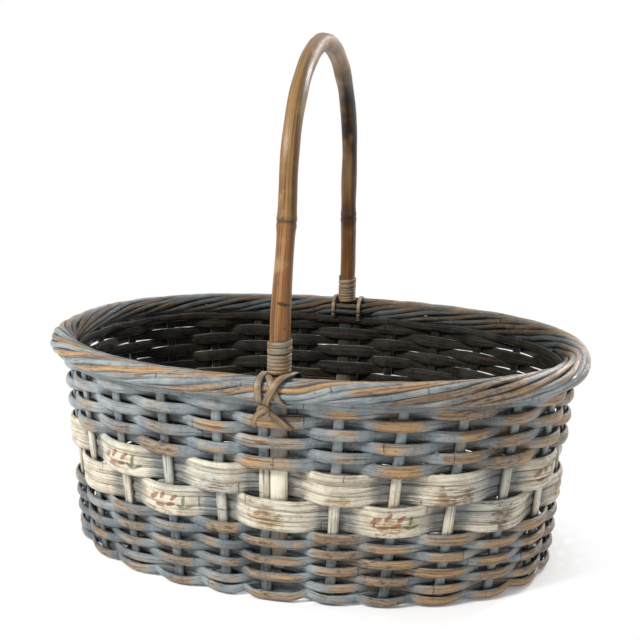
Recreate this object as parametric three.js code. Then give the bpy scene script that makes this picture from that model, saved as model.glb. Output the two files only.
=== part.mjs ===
// Oval gathering basket of cane: a check-woven base whose spokes bend up to be the side stakes,
// twenty rows of weavers that pass in front of and behind the stakes, a rolled border of twisted rods,
// and a hoop handle whose shaved legs run down beside the middle stakes, bound and lashed to the border.
// Millimetres, +Z up. X runs along the oval, Y across it, and the origin is on the floor under the middle.
import * as THREE from "three";

// Driving dimensions of the oval body
const RIM_HALF_LENGTH = 215; // border centre line, along X
const RIM_HALF_WIDTH = 164; // border centre line, along Y
const BORDER_HEIGHT = 174; // border centre line above the floor
const OVAL_POWER = 2.25; // 2 is an ellipse, more is squarer
const END_TAPER = 8; // the ends lean in by this much from border to floor
const SIDE_TAPER = 20; // the long sides lean in by this much
const FOOT_ROUND_IN = 6; // the wall turns under by this much at the foot
const FOOT_ROUND_HEIGHT = 9;
const WALL_UNDER_BORDER = 6; // the stakes stand this far inside the border's centre line

// Canes
const STAKES = 26;
const CROSS_SPOKES = 7; // spokes across the base; the rest run along it
const STAKE_WIDTH = 8.5;
const STAKE_THICK = 4.2;
const WEAVER_THICK = 3.4;
const LOWER_WEAVER_WIDTH = 6.1; // the rows under the pale band are of narrower cane
const SLAT_WIDTH = 8;
const SLAT_THICK = 3.2;
const CLEARANCE = 0.3; // between canes that touch on the real basket

// Rows of weavers, from the floor up
const LOWER_ROWS = 8;
const BAND_ROWS = 3; // canes that run together in each of the two pale bands
const UPPER_ROWS = 6;
const FIRST_ROW_HEIGHT = 8.4; // centre of the lowest row above the floor
const ROW_GAP = 0.85; // between one row and the next
const BORDER_GAP = 4.65; // between the top row and the border, where the lashing passes
const FOOT_DIP = 2.6; // the lowest row dips outside a stake and climbs over its bend inside

// Base mat
const FOOT_FLAT_FROM = 4.2; // how far in from the wall each spoke lies flat on the floor
const FOOT_FLAT_TO = 7;
const MAT_EDGE = 14; // where the spokes reach the height of the mat
const MAT_HEIGHT = 8.6; // centre of the cross spokes above the floor
const SLAT_EDGE = 15; // the slats stop this far in from the wall
const SLATS_BETWEEN = 2; // loose slats between two long spokes
const SLATS_BEYOND = 2; // loose slats outside the last long spoke

// Rolled border
const RODS = 5;
const ROD_RADIUS = 3.6;
const ROD_CIRCLE = 6.9; // from the border's centre line to the rods' centre lines
const BORDER_TURNS = 4; // an even count puts the same rod inside both legs
const ROD_STATIONS = 60;
const ROD_SPREAD = 40; // half the length over which the rods part round a leg

// Hoop handle
const HANDLE_RADIUS = 7.2;
const HANDLE_TOP = 415; // centre line above the floor
const ARC_HALF_WIDTH = 142;
const ARC_HEIGHT = 105;
const LEG_WIDTH = 13; // the shaved leg inside the weave
const LEG_THICK = 6;
const LEG_END_WIDTH = 9;
const LEG_END_THICK = 3.4;
const LEG_FOOT = 28; // height of the leg's lower end
const LEG_SIDE = 2; // the leg stands this far to one side of the middle
const PAIR_STAKE_SIDE = 9.5; // and its stake this far to the other
const SHOULDER = 3; // height over which the shaved leg grows to the full cane

// Binding and lashing
const BINDING_TURNS = 5;
const BINDING_PITCH = 3.6;
const BINDING_WIDTH = 3;
const BINDING_THICK = 1.4;
const BINDING_STEPS = 10; // in each turn
const LASH_WIDTH = 4.4;
const LASH_THICK = 1.4;
const LASH_SIDE = 17; // the lashing goes round the border this far to each side of the middle
const LASH_POWER = 3;
const LASH_STEPS = 14; // in each half turn

const UP = new THREE.Vector3(0, 0, 1);
const DOWN = new THREE.Vector3(0, 0, -1);
const BORDER_FOOT = BORDER_HEIGHT - ROD_CIRCLE - ROD_RADIUS;
const STAKE_TOP = BORDER_FOOT + 2 * CLEARANCE; // the stakes stand inside the rods' lowest line
const LOWER_PITCH = LOWER_WEAVER_WIDTH + ROW_GAP;
const LOWER_TOP = FIRST_ROW_HEIGHT + (LOWER_ROWS - 0.5) * LOWER_PITCH; // half a gap above the last narrow row
const WIDE_ROWS = 2 * BAND_ROWS + UPPER_ROWS;
const ROW_PITCH = (BORDER_FOOT - BORDER_GAP + ROW_GAP / 2 - LOWER_TOP) / WIDE_ROWS;
const WEAVER_WIDTH = ROW_PITCH - ROW_GAP; // the wider rows fill the wall from there to the border
const PASS_OFFSET = STAKE_THICK / 2 + CLEARANCE + WEAVER_THICK / 2;
const LEG_PASS_OFFSET = LEG_THICK / 2 + CLEARANCE + WEAVER_THICK / 2;
const HALF_STAKES = STAKES / 2;
const LEG_AT = { front: 0, back: HALF_STAKES }; // the two stakes beside the legs

const basket = new THREE.Group();

const PAINT_GREY = "#7d8792";
const CANE_BROWN = "#8a7357";
const PAINT_CREAM = "#cfc7b2";
const HANDLE_CANE = "#8c6338";
const BINDING_CANE = "#8d7a5f";

function addPart(name, geometry, color, roughness) {
  const material = new THREE.MeshStandardMaterial({ color, roughness, metalness: 0 });
  const mesh = new THREE.Mesh(geometry, material);
  mesh.name = name;
  basket.add(mesh);
}

// The oval

// The point of a squared ellipse in the direction of an angle.
function ovalPoint(angle, halfX, halfY, power) {
  const c = Math.cos(angle);
  const s = Math.sin(angle);
  const radius = (Math.abs(c / halfX) ** power + Math.abs(s / halfY) ** power) ** (-1 / power);
  return new THREE.Vector3(radius * c, radius * s, 0);
}

// How far the wall's middle surface stands in from the border's centre line at a height.
function wallInset(height, taper) {
  const share = 1 - Math.min(height / STAKE_TOP, 1);
  const low = Math.max(0, 1 - Math.max(height, 0) / FOOT_ROUND_HEIGHT);
  const roundIn = FOOT_ROUND_IN * (1 - Math.sqrt(1 - low * low));
  return WALL_UNDER_BORDER + taper * share + roundIn;
}

function wallPoint(angle, height) {
  const halfX = RIM_HALF_LENGTH - wallInset(height, END_TAPER);
  const halfY = RIM_HALF_WIDTH - wallInset(height, SIDE_TAPER);
  return ovalPoint(angle, halfX, halfY, OVAL_POWER).setZ(height);
}

// The wall's middle surface at an angle and height: point, tangent round the oval and outward normal.
function wallFrame(angle, height) {
  const small = 1e-3;
  const point = wallPoint(angle, height);
  const along = wallPoint(angle + small, height).sub(wallPoint(angle - small, height)).normalize();
  const up = wallPoint(angle, height + small).sub(wallPoint(angle, height)).normalize();
  const out = along.clone().cross(up).normalize();
  return { point, along, up, out };
}

// The same frame, moved a distance along the wall.
function wallFrameBeside(angle, height, distance) {
  const radius = Math.hypot(wallPoint(angle, height).x, wallPoint(angle, height).y);
  return wallFrame(angle + distance / radius, height);
}

// Angles that share a closed oval into equal lengths, the first at the middle of the front.
function equalAngles(count, pointAt) {
  const fine = 3600;
  const start = -Math.PI / 2;
  const angles = [];
  const lengths = [0];
  for (let i = 0; i <= fine; i++) {
    angles.push(start + (2 * Math.PI * i) / fine);
    if (i > 0) lengths.push(lengths[i - 1] + pointAt(angles[i]).distanceTo(pointAt(angles[i - 1])));
  }
  const total = lengths[fine];
  const found = [];
  let i = 0;
  for (let k = 0; k < count; k++) {
    const wanted = (total * k) / count;
    while (lengths[i + 1] < wanted) i++;
    const share = (wanted - lengths[i]) / (lengths[i + 1] - lengths[i]);
    found.push(angles[i] + share * (angles[i + 1] - angles[i]));
  }
  return { angles: found, total };
}

const stakeAngles = equalAngles(STAKES, (a) => wallPoint(a, STAKE_TOP)).angles;

// Swept canes

function rectangle(width, thick) {
  return [
    [-width / 2, -thick / 2],
    [width / 2, -thick / 2],
    [width / 2, thick / 2],
    [-width / 2, thick / 2],
  ];
}

function ellipse(width, thick, sides) {
  return Array.from({ length: sides }, (_, i) => {
    const angle = (2 * Math.PI * (i + 0.5)) / sides;
    return [(width / 2) * Math.cos(angle), (thick / 2) * Math.sin(angle)];
  });
}

function signedVolume(positions, triangles) {
  const corner = [new THREE.Vector3(), new THREE.Vector3(), new THREE.Vector3()];
  let six = 0;
  for (let i = 0; i < triangles.length; i += 3) {
    for (let k = 0; k < 3; k++) corner[k].fromArray(positions, 3 * triangles[i + k]);
    six += corner[0].dot(corner[1].cross(corner[2]));
  }
  return six / 6;
}

// One closed body through stations of { point, u, v, section }, with end caps, or joined end to end as a ring.
function sweep(stations, ring) {
  const sides = stations[0].section.length;
  const positions = [];
  for (const { point, u, v, section } of stations) {
    for (const [a, b] of section) {
      const corner = point.clone().addScaledVector(u, a).addScaledVector(v, b);
      positions.push(corner.x, corner.y, corner.z);
    }
  }
  const triangles = [];
  const spans = ring ? stations.length : stations.length - 1;
  for (let i = 0; i < spans; i++) {
    const here = i * sides;
    const next = ((i + 1) % stations.length) * sides;
    for (let j = 0; j < sides; j++) {
      const k = (j + 1) % sides;
      triangles.push(here + j, here + k, next + k, here + j, next + k, next + j);
    }
  }
  if (!ring) {
    const last = (stations.length - 1) * sides;
    for (let j = 1; j < sides - 1; j++) {
      triangles.push(0, j + 1, j);
      triangles.push(last, last + j, last + j + 1);
    }
  }
  if (signedVolume(positions, triangles) < 0) triangles.reverse();
  const geometry = new THREE.BufferGeometry();
  geometry.setAttribute("position", new THREE.Float32BufferAttribute(positions, 3));
  geometry.setIndex(triangles);
  geometry.computeVertexNormals();
  return geometry;
}

// Stakes and base spokes

const STAKE_SECTION = rectangle(STAKE_WIDTH, STAKE_THICK);
const WALL_HEIGHTS = [1, 0.75, 0.5, 0.25].map((share) => share * STAKE_TOP);
const BEND_HEIGHTS = [FOOT_ROUND_HEIGHT + STAKE_THICK, FOOT_ROUND_HEIGHT * 0.75];
const FLOOR_CENTRE = STAKE_THICK / 2; // height of a spoke that lies on the floor

// A stake beside a leg stands to one side of its place on the oval.
function stakeShift(index) {
  return index === LEG_AT.front || index === LEG_AT.back ? -PAIR_STAKE_SIDE : 0;
}

function stakeFrame(index, height) {
  return wallFrameBeside(stakeAngles[index], height, stakeShift(index));
}

// The base line of the spoke that joins two stakes: its two ends on the wall, direction and sideways axis.
function spokeLine(fromIndex, toIndex) {
  const low = BEND_HEIGHTS[1];
  const from = stakeFrame(fromIndex, low);
  const to = stakeFrame(toIndex, low);
  const direction = to.point.clone().sub(from.point).setZ(0).normalize();
  return { from, to, direction, side: direction.clone().cross(UP) };
}

// One end of a spoke, from the top of its stake down to where it joins the mat.
// inward points along the base, and turn is 1 where the path runs down the wall, -1 where it runs up.
// level is how far above the mat's middle the spoke makes its first crossing.
function spokeEnd(index, inward, side, turn, level) {
  const stations = [...WALL_HEIGHTS, ...BEND_HEIGHTS].map((height) => {
    const { point, along, out } = stakeFrame(index, height);
    return { point, u: along.multiplyScalar(turn), v: out, section: STAKE_SECTION };
  });
  const low = stakeFrame(index, BEND_HEIGHTS[1]);
  const slant = Math.abs(low.out.clone().setZ(0).normalize().dot(inward));
  const corner = (STAKE_WIDTH / 2) * Math.sqrt(1 - slant * slant); // a slanting spoke's corner leads its middle
  const at = (inset, height) => low.point.clone().addScaledVector(inward, inset / slant).setZ(height);
  const bend = {
    point: at(FOOT_FLAT_FROM * 0.3 + corner * 0.6, FLOOR_CENTRE + FOOT_FLAT_FROM * 0.32),
    u: low.along.clone().multiplyScalar(turn).add(side).normalize(),
    v: low.out.clone().add(DOWN).normalize(),
    section: STAKE_SECTION,
  };
  const flatTo = at(FOOT_FLAT_TO + corner, FLOOR_CENTRE);
  const matEdge = flatTo.clone().addScaledVector(inward, MAT_EDGE - FOOT_FLAT_TO).setZ(MAT_HEIGHT + level / 2);
  const flat = [at(FOOT_FLAT_FROM + corner, FLOOR_CENTRE), flatTo, matEdge].map(
    (point) => ({ point, u: side, v: DOWN, section: STAKE_SECTION }),
  );
  return [...stations, bend, ...flat];
}

function spoke(fromIndex, toIndex, middle) {
  const { direction, side } = spokeLine(fromIndex, toIndex);
  const levels = middle.map(({ point }) => point.z - MAT_HEIGHT);
  const down = spokeEnd(fromIndex, direction, side, 1, levels.at(0) ?? 0);
  const up = spokeEnd(toIndex, direction.clone().negate(), side, -1, levels.at(-1) ?? 0).reverse();
  return sweep([...down, ...middle, ...up], false);
}

const halfCross = (CROSS_SPOKES - 1) / 2;
const crossPairs = [];
for (let i = -halfCross; i <= halfCross; i++) crossPairs.push([(STAKES + i) % STAKES, HALF_STAKES - i]);
const longPairs = [];
for (let i = halfCross + 1; i < HALF_STAKES - halfCross; i++) longPairs.push([i, STAKES - i]);

crossPairs.forEach(([from, to], i) => {
  addPart(`cross_spoke_${i + 1}`, spoke(from, to, []), PAINT_GREY, 0.75);
});

// Where the cross spokes lie at a distance across the base, from one end of the basket to the other.
function crossingsAt(y) {
  return crossPairs.map(([fromIndex, toIndex]) => {
    const { from, to } = spokeLine(fromIndex, toIndex);
    const share = (y - from.point.y) / (to.point.y - from.point.y);
    return from.point.x + share * (to.point.x - from.point.x);
  });
}

// Heights at which a lengthwise cane passes over and under the cross spokes in check weave.
// The extra lift keeps a cane that climbs between two spokes off the edges of both.
function checkWeave(order, y, thick) {
  const spacing = crossingsAt(0)[1] - crossingsAt(0)[0];
  const flat = STAKE_THICK / 2 + CLEARANCE + thick / 2;
  const lift = flat / (1 - STAKE_WIDTH / (spacing - STAKE_WIDTH));
  return crossingsAt(y).map((x, c) => ({ x, level: (order + c) % 2 === 0 ? lift : -lift }));
}

// The mat is an oval a little smaller than the foot of the wall.
const matHalfLength = RIM_HALF_LENGTH - wallInset(BEND_HEIGHTS[1], END_TAPER) - SLAT_EDGE;
const matHalfWidth = RIM_HALF_WIDTH - wallInset(BEND_HEIGHTS[1], SIDE_TAPER) - SLAT_EDGE;

// Loose slats share the width between two long spokes, and the width from the last one to the edge of the mat.
const longSpokeY = longPairs.map(([from]) => stakeFrame(from, BEND_HEIGHTS[1]).point.y);
const canes = [];
longSpokeY.forEach((y, i) => {
  canes.push({ y, pair: longPairs[i] });
  const following = i < longSpokeY.length - 1 ? SLATS_BETWEEN : 0;
  const gap = following ? (longSpokeY[i + 1] - y) / (SLATS_BETWEEN + 1) : 0;
  for (let k = 1; k <= following; k++) canes.push({ y: y + k * gap });
});
const edgePitch = (matHalfWidth - longSpokeY.at(-1)) / (SLATS_BEYOND + 0.5);
for (let k = 1; k <= SLATS_BEYOND; k++) {
  canes.unshift({ y: longSpokeY[0] - k * edgePitch });
  canes.push({ y: longSpokeY.at(-1) + k * edgePitch });
}

function longSpoke(order, y, pair) {
  const { side } = spokeLine(...pair);
  const middle = checkWeave(order, y, STAKE_THICK).map(({ x, level }) => ({
    point: new THREE.Vector3(x, y, MAT_HEIGHT + level),
    u: side,
    v: DOWN,
    section: STAKE_SECTION,
  }));
  return spoke(...pair, middle.reverse());
}

// A slat reaches from edge to edge of the mat, or to the last spoke that it can't cross within the edge,
// and its tails settle to the height of the mat.
function slat(order, y) {
  const edge = matHalfLength * (1 - Math.abs(y / matHalfWidth) ** OVAL_POWER) ** (1 / OVAL_POWER);
  const crossings = checkWeave(order, y, SLAT_THICK);
  const inside = crossings.filter(({ x }) => Math.abs(x) < edge - STAKE_WIDTH);
  const beyond = crossings.filter(({ x }) => Math.abs(x) >= edge - STAKE_WIDTH);
  const stops = beyond.map(({ x }) => Math.abs(x) - STAKE_WIDTH / 2 - CLEARANCE);
  const reach = Math.min(edge, ...stops);
  const spacing = inside[1].x - inside[0].x;
  const tail = (x, { x: near, level }) => {
    const share = (2 * Math.abs(x - near)) / spacing;
    return { x, level: level * Math.max(0, 1 - share) };
  };
  const points = [tail(-reach, inside.at(0)), ...inside, tail(reach, inside.at(-1))];
  const section = rectangle(SLAT_WIDTH, SLAT_THICK);
  const side = new THREE.Vector3(0, 1, 0);
  const stations = points.map(({ x, level }) => ({
    point: new THREE.Vector3(x, y, MAT_HEIGHT + level),
    u: side,
    v: UP,
    section,
  }));
  return sweep(stations, false);
}

let longCount = 0;
let slatCount = 0;
canes.forEach(({ y, pair }, order) => {
  if (pair) addPart(`long_spoke_${(longCount += 1)}`, longSpoke(order, y, pair), PAINT_GREY, 0.75);
  else addPart(`base_slat_${(slatCount += 1)}`, slat(order, y), PAINT_GREY, 0.8);
});

// Weavers

// Each row passes outside the stakes of one parity and inside the others.
// The three canes of a pale band run side by side, so they share a parity.
const rows = [];
for (let i = 0; i < LOWER_ROWS; i++) rows.push({ name: `lower_weaver_${i + 1}`, parity: i % 2, color: CANE_BROWN });
for (let band = 0; band < 2; band++) {
  for (let i = 0; i < BAND_ROWS; i++) {
    const which = band === 0 ? "lower" : "upper";
    rows.push({ name: `${which}_band_weaver_${i + 1}`, parity: (LOWER_ROWS + band) % 2, color: PAINT_CREAM });
  }
}
for (let i = 0; i < UPPER_ROWS; i++) {
  rows.push({ name: `upper_weaver_${i + 1}`, parity: (LOWER_ROWS + i) % 2, color: PAINT_GREY });
}

// How far a weaver runs straight before and after each stake, which is wider where a leg stands beside it.
function flatAt(index) {
  const ease = WEAVER_THICK / 4;
  if (index !== LEG_AT.front && index !== LEG_AT.back) {
    return { before: STAKE_WIDTH / 2 + ease, after: STAKE_WIDTH / 2 + ease, offset: PASS_OFFSET };
  }
  return {
    before: PAIR_STAKE_SIDE + STAKE_WIDTH / 2 + ease,
    after: LEG_SIDE + LEG_WIDTH / 2 + ease,
    offset: LEG_PASS_OFFSET,
  };
}

function weaver(row, parity) {
  const narrow = row < LOWER_ROWS;
  const wideHeight = LOWER_TOP + (row - LOWER_ROWS + 0.5) * ROW_PITCH;
  const height = narrow ? FIRST_ROW_HEIGHT + row * LOWER_PITCH : wideHeight;
  const dip = row === 0 ? FOOT_DIP : 0;
  const section = rectangle(narrow ? LOWER_WEAVER_WIDTH : WEAVER_WIDTH, WEAVER_THICK);
  const stations = [];
  stakeAngles.forEach((angle, index) => {
    const side = index % 2 === parity ? 1 : -1;
    const { before, after, offset } = flatAt(index);
    for (const distance of [-before, after]) {
      const { point, up, out } = wallFrameBeside(angle, height - side * dip, distance);
      stations.push({ point: point.addScaledVector(out, side * offset), u: up, v: out, section });
    }
  });
  return sweep(stations, true);
}

rows.forEach(({ name, parity, color }, row) => addPart(name, weaver(row, parity), color, 0.7));

// Rolled border

const rimPoint = (angle) => ovalPoint(angle, RIM_HALF_LENGTH, RIM_HALF_WIDTH, OVAL_POWER).setZ(BORDER_HEIGHT);
const rim = equalAngles(ROD_STATIONS, rimPoint);

// Distance along the border from the nearer leg, and how strongly the rods part there.
function fromLeg(length) {
  const half = rim.total / 2;
  const signed = ((((length - LEG_SIDE + half / 2) % half) + half) % half) - half / 2;
  const share = Math.min(Math.abs(signed) / ROD_SPREAD, 1);
  return { signed, part: Math.cos((Math.PI / 2) * share) ** 2 };
}

// Rods lie round a common centre line. Beside a leg they stop turning, the inmost rod passes inside the leg,
// and the others move outwards, so that the shaved leg goes down between them.
const legInset = wallInset(STAKE_TOP, SIDE_TAPER);
const neighbourReach = ROD_CIRCLE * Math.cos(Math.PI - (2 * Math.PI) / RODS);
const ROD_OUT = Math.max(0, ROD_RADIUS + LEG_THICK / 2 + 2 * CLEARANCE - legInset - neighbourReach);
const ROD_IN = legInset + LEG_THICK / 2 + CLEARANCE + ROD_RADIUS - ROD_CIRCLE;

function borderRod(rod) {
  const section = ellipse(2 * ROD_RADIUS, 2 * ROD_RADIUS, 5);
  const stations = rim.angles.map((angle, i) => {
    const length = (rim.total * i) / ROD_STATIONS;
    const { signed, part } = fromLeg(length);
    const turned = (length - LEG_SIDE - signed * part) / rim.total;
    const phase = Math.PI + 2 * Math.PI * (rod / RODS + BORDER_TURNS * turned);
    const along = rimPoint(angle + 1e-3).sub(rimPoint(angle - 1e-3)).normalize();
    const out = along.cross(UP).normalize();
    const moved = rod === 0 ? -ROD_IN * part : ROD_OUT * part;
    const point = rimPoint(angle)
      .addScaledVector(out, ROD_CIRCLE * Math.cos(phase) + moved)
      .addScaledVector(UP, ROD_CIRCLE * Math.sin(phase));
    return { point, u: out, v: UP, section };
  });
  return sweep(stations, true);
}

for (let rod = 0; rod < RODS; rod++) addPart(`border_rod_${rod + 1}`, borderRod(rod), CANE_BROWN, 0.7);

// Hoop handle

const HANDLE_SIDES = 10;
const BORDER_TOP = BORDER_HEIGHT + ROD_CIRCLE + ROD_RADIUS + CLEARANCE;
const SHOULDER_TOP = BORDER_TOP + SHOULDER;
const BINDING_TOP = SHOULDER_TOP + BINDING_TURNS * BINDING_PITCH + BINDING_WIDTH;
const legY = RIM_HALF_WIDTH - wallInset(STAKE_TOP, SIDE_TAPER);
const ARC_FOOT = HANDLE_TOP - ARC_HEIGHT;

const smooth = (t) => t * t * (3 - 2 * t);

// Half the width of the hoop at a height, where the legs lean in above the binding to meet the arc.
function hoopHalfWidth(height) {
  const share = Math.min(Math.max((height - BINDING_TOP) / (ARC_FOOT - BINDING_TOP), 0), 1);
  return legY + (ARC_HALF_WIDTH - legY) * smooth(share);
}

// The front half of the hoop, from the leg's lower end to the middle of the arc: height, reach and section.
function frontHalf() {
  const tip = ellipse(LEG_END_WIDTH, LEG_END_THICK, HANDLE_SIDES);
  const shaved = ellipse(LEG_WIDTH, LEG_THICK, HANDLE_SIDES);
  const full = ellipse(2 * HANDLE_RADIUS, 2 * HANDLE_RADIUS, HANDLE_SIDES);
  const inWall = (height) => RIM_HALF_WIDTH - wallInset(height, SIDE_TAPER);
  const taperTop = LEG_FOOT + 2 * LEG_WIDTH;
  const stations = [
    { height: LEG_FOOT, reach: inWall(LEG_FOOT), section: tip },
    { height: taperTop, reach: inWall(taperTop), section: shaved },
    { height: (taperTop + STAKE_TOP) / 2, reach: inWall((taperTop + STAKE_TOP) / 2), section: shaved },
    { height: STAKE_TOP, reach: legY, section: shaved },
    { height: BORDER_TOP, reach: legY, section: shaved },
    { height: SHOULDER_TOP, reach: legY, section: full },
    { height: BINDING_TOP, reach: legY, section: full },
  ];
  const legSteps = 4;
  for (let i = 1; i <= legSteps; i++) {
    const height = BINDING_TOP + ((ARC_FOOT - BINDING_TOP) * i) / legSteps;
    stations.push({ height, reach: hoopHalfWidth(height), section: full });
  }
  const arcSteps = 10;
  for (let i = 1; i <= arcSteps; i++) {
    const angle = ((Math.PI / 2) * i) / arcSteps;
    const height = ARC_FOOT + ARC_HEIGHT * Math.sin(angle);
    stations.push({ height, reach: ARC_HALF_WIDTH * Math.cos(angle), section: full });
  }
  return stations;
}

// Both halves, the back one turned half round the middle, so that each leg stands to the same hand of its stake.
function handleHoop() {
  const half = frontHalf();
  const front = half.map(({ height, reach, section }) => ({ y: -reach, height, section }));
  const back = half.slice(0, -1).reverse().map(({ height, reach, section }) => ({ y: reach, height, section }));
  const path = [...front, ...back];
  const points = path.map(({ y, height }) => new THREE.Vector3((-LEG_SIDE * y) / legY, y, height));
  const side = new THREE.Vector3(1, 0, 0);
  const stations = path.map(({ section }, i) => {
    const before = points[Math.max(i - 1, 0)];
    const after = points[Math.min(i + 1, points.length - 1)];
    const forward = after.clone().sub(before).setX(0).normalize();
    return { point: points[i], u: side, v: forward.cross(side).normalize(), section };
  });
  return sweep(stations, false);
}

addPart("handle_hoop", handleHoop(), HANDLE_CANE, 0.35);

// Binding: one flat strip of cane wound round each leg just above the border.

function handleBinding() {
  const section = rectangle(BINDING_WIDTH, BINDING_THICK);
  const radius = (HANDLE_RADIUS + CLEARANCE) / Math.cos(Math.PI / BINDING_STEPS) + BINDING_THICK / 2;
  const steps = BINDING_TURNS * BINDING_STEPS;
  const stations = [];
  for (let i = 0; i <= steps; i++) {
    const angle = (2 * Math.PI * i) / BINDING_STEPS;
    const height = SHOULDER_TOP + BINDING_WIDTH / 2 + (BINDING_PITCH * i) / BINDING_STEPS;
    const out = new THREE.Vector3(Math.cos(angle), Math.sin(angle), 0);
    const centre = new THREE.Vector3(LEG_SIDE, -legY, height);
    stations.push({ point: centre.addScaledVector(out, radius), u: UP, v: out, section });
  }
  return stations;
}

// The least gap between a winding's turns, on the centre line's points.
function leastGap(stations, perTurn, width) {
  let least = Infinity;
  for (let i = 0; i + perTurn < stations.length; i++) {
    const gap = stations[i + perTurn].point.distanceTo(stations[i].point) - width;
    least = Math.min(least, gap);
  }
  return least;
}

// Lashing: one strip that goes twice round the border, crossing itself in an X on the outside.

function lashPoint(angle, side, lift) {
  const outer = ROD_CIRCLE * Math.cos(Math.PI / RODS) + ROD_OUT + ROD_RADIUS;
  const inner = ROD_CIRCLE + ROD_IN + ROD_RADIUS;
  const spare = 2 * CLEARANCE + LASH_THICK / 2;
  const round = ovalPoint(angle, (outer + inner) / 2 + spare, ROD_CIRCLE + ROD_RADIUS + spare, LASH_POWER);
  round.multiplyScalar(1 + lift / round.length());
  const reach = RIM_HALF_WIDTH + (outer - inner) / 2 + round.x;
  return new THREE.Vector3(side, -reach, BORDER_HEIGHT + round.y);
}

function handleLashing() {
  const lift = LASH_THICK + 2 * CLEARANCE;
  const path = [];
  const halves = [
    { from: -LASH_SIDE, to: LASH_SIDE, lifted: 0 },
    { from: LASH_SIDE, to: LASH_SIDE, lifted: 0 },
    { from: LASH_SIDE, to: -LASH_SIDE, lifted: lift },
    { from: -LASH_SIDE, to: -LASH_SIDE, lifted: 0 },
  ];
  halves.forEach(({ from, to, lifted }, half) => {
    const last = half === halves.length - 1;
    const steps = last ? LASH_STEPS - 1 : LASH_STEPS;
    for (let i = 0; i < steps; i++) {
      const share = i / LASH_STEPS;
      const angle = Math.PI / 2 - Math.PI * (half + share);
      const side = from + (to - from) * share;
      path.push(lashPoint(angle, side, lifted * Math.sin(Math.PI * share) ** 0.7));
    }
  });
  const section = rectangle(LASH_WIDTH, LASH_THICK);
  const centre = new THREE.Vector3(0, -RIM_HALF_WIDTH, BORDER_HEIGHT);
  const stations = path.map((point, i) => {
    const before = path[Math.max(i - 1, 0)];
    const after = path[Math.min(i + 1, path.length - 1)];
    const forward = after.clone().sub(before).normalize();
    const away = point.clone().sub(centre).setX(0);
    const u = forward.clone().cross(away).normalize();
    return { point, u, v: u.clone().cross(forward).normalize(), section };
  });
  return sweep(stations, false);
}

// The back leg's binding and lashing are the front ones turned half round.
const halfTurn = new THREE.Matrix4().makeRotationZ(Math.PI);
for (const where of ["front", "back"]) {
  const binding = sweep(handleBinding(), false);
  const lashing = handleLashing();
  if (where === "back") {
    binding.applyMatrix4(halfTurn);
    lashing.applyMatrix4(halfTurn);
  }
  addPart(`handle_binding_${where}`, binding, BINDING_CANE, 0.6);
  addPart(`handle_lashing_${where}`, lashing, BINDING_CANE, 0.6);
}
console.log(`least gap in a binding: ${leastGap(handleBinding(), BINDING_STEPS, BINDING_WIDTH).toFixed(2)} mm`);

export default basket;
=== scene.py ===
# %% [markdown]
# # A woven gathering basket
# The basket is an oval of painted cane. Spokes cross under the base and bend up to be stakes, rows of
# weavers pass in front of and behind them, a rolled border closes the top, and a bent pole is the handle.
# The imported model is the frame: every piece made here stands for one of its nodes and stays where that is.

# %% The frame and its box
import math

import bpy
import numpy as np
from mathutils import Matrix


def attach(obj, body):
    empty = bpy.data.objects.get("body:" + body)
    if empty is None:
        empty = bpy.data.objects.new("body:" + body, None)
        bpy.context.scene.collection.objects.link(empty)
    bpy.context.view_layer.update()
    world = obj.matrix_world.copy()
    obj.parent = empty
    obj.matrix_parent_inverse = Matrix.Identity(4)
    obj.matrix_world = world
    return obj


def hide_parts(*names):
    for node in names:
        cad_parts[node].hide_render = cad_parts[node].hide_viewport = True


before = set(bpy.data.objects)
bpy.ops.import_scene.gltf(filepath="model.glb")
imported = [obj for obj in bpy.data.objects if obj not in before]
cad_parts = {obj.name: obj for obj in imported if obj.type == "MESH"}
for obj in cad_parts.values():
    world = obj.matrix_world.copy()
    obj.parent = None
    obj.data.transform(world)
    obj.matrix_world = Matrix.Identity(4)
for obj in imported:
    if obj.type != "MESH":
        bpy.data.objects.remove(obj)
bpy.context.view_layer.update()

# %% [markdown]
# ## The camera
# The camera's place and lens were worked out from the oval of the rim, the foot and the stakes in the
# photograph. Blender looks down its own -Z axis, so the columns of the rotation are right, up and back.
# The small turn about the view axis is the tilt with which the picture was taken.

# %% Camera
MM = 0.001
PICTURE = 640  # pixels on a side


def unit(vectors):
    """Vectors divided by their lengths, along the last axis."""
    return vectors / np.linalg.norm(vectors, axis=-1, keepdims=True)


def set_camera():
    """Camera on a sphere round a point of the basket, turned by the picture's roll."""
    azimuth, elevation, roll = np.radians([10.526, 14.292, 1.817])
    distance, target = 853.14, np.array([0, 0, 140.0])
    focal, centre_x, centre_y = 988.925, 317.485, 378.259
    back = np.array([math.sin(azimuth) * math.cos(elevation), -math.cos(azimuth) * math.cos(elevation),
                     math.sin(elevation)])
    right = unit(np.cross(-back, [0, 0, 1]))
    up = np.cross(right, -back)
    right, up = (right * math.cos(roll) + up * math.sin(roll), up * math.cos(roll) - right * math.sin(roll))
    place = (target + distance * back) * MM
    data = bpy.data.cameras.new("camera")
    data.sensor_width = 36
    data.lens = focal / PICTURE * data.sensor_width
    data.shift_x = (PICTURE / 2 - centre_x) / PICTURE
    data.shift_y = (centre_y - PICTURE / 2) / PICTURE
    camera = bpy.data.objects.new("camera", data)
    bpy.context.collection.objects.link(camera)
    rows = np.column_stack([right, up, back, place])
    camera.matrix_world = Matrix([*rows.tolist(), [0, 0, 0, 1]])
    bpy.context.scene.camera = camera
    print("camera at", place.round(3), "lens", round(data.lens, 2))


set_camera()

# %% [markdown]
# ## The oval wall
# Every piece hangs on one surface: the middle of the wall, an oval that leans in towards the foot. The
# sizes repeat those of the solids, in millimetres. A squared ellipse is written in polar form, because
# then one angle follows a stake from the border down to the floor.

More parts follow.
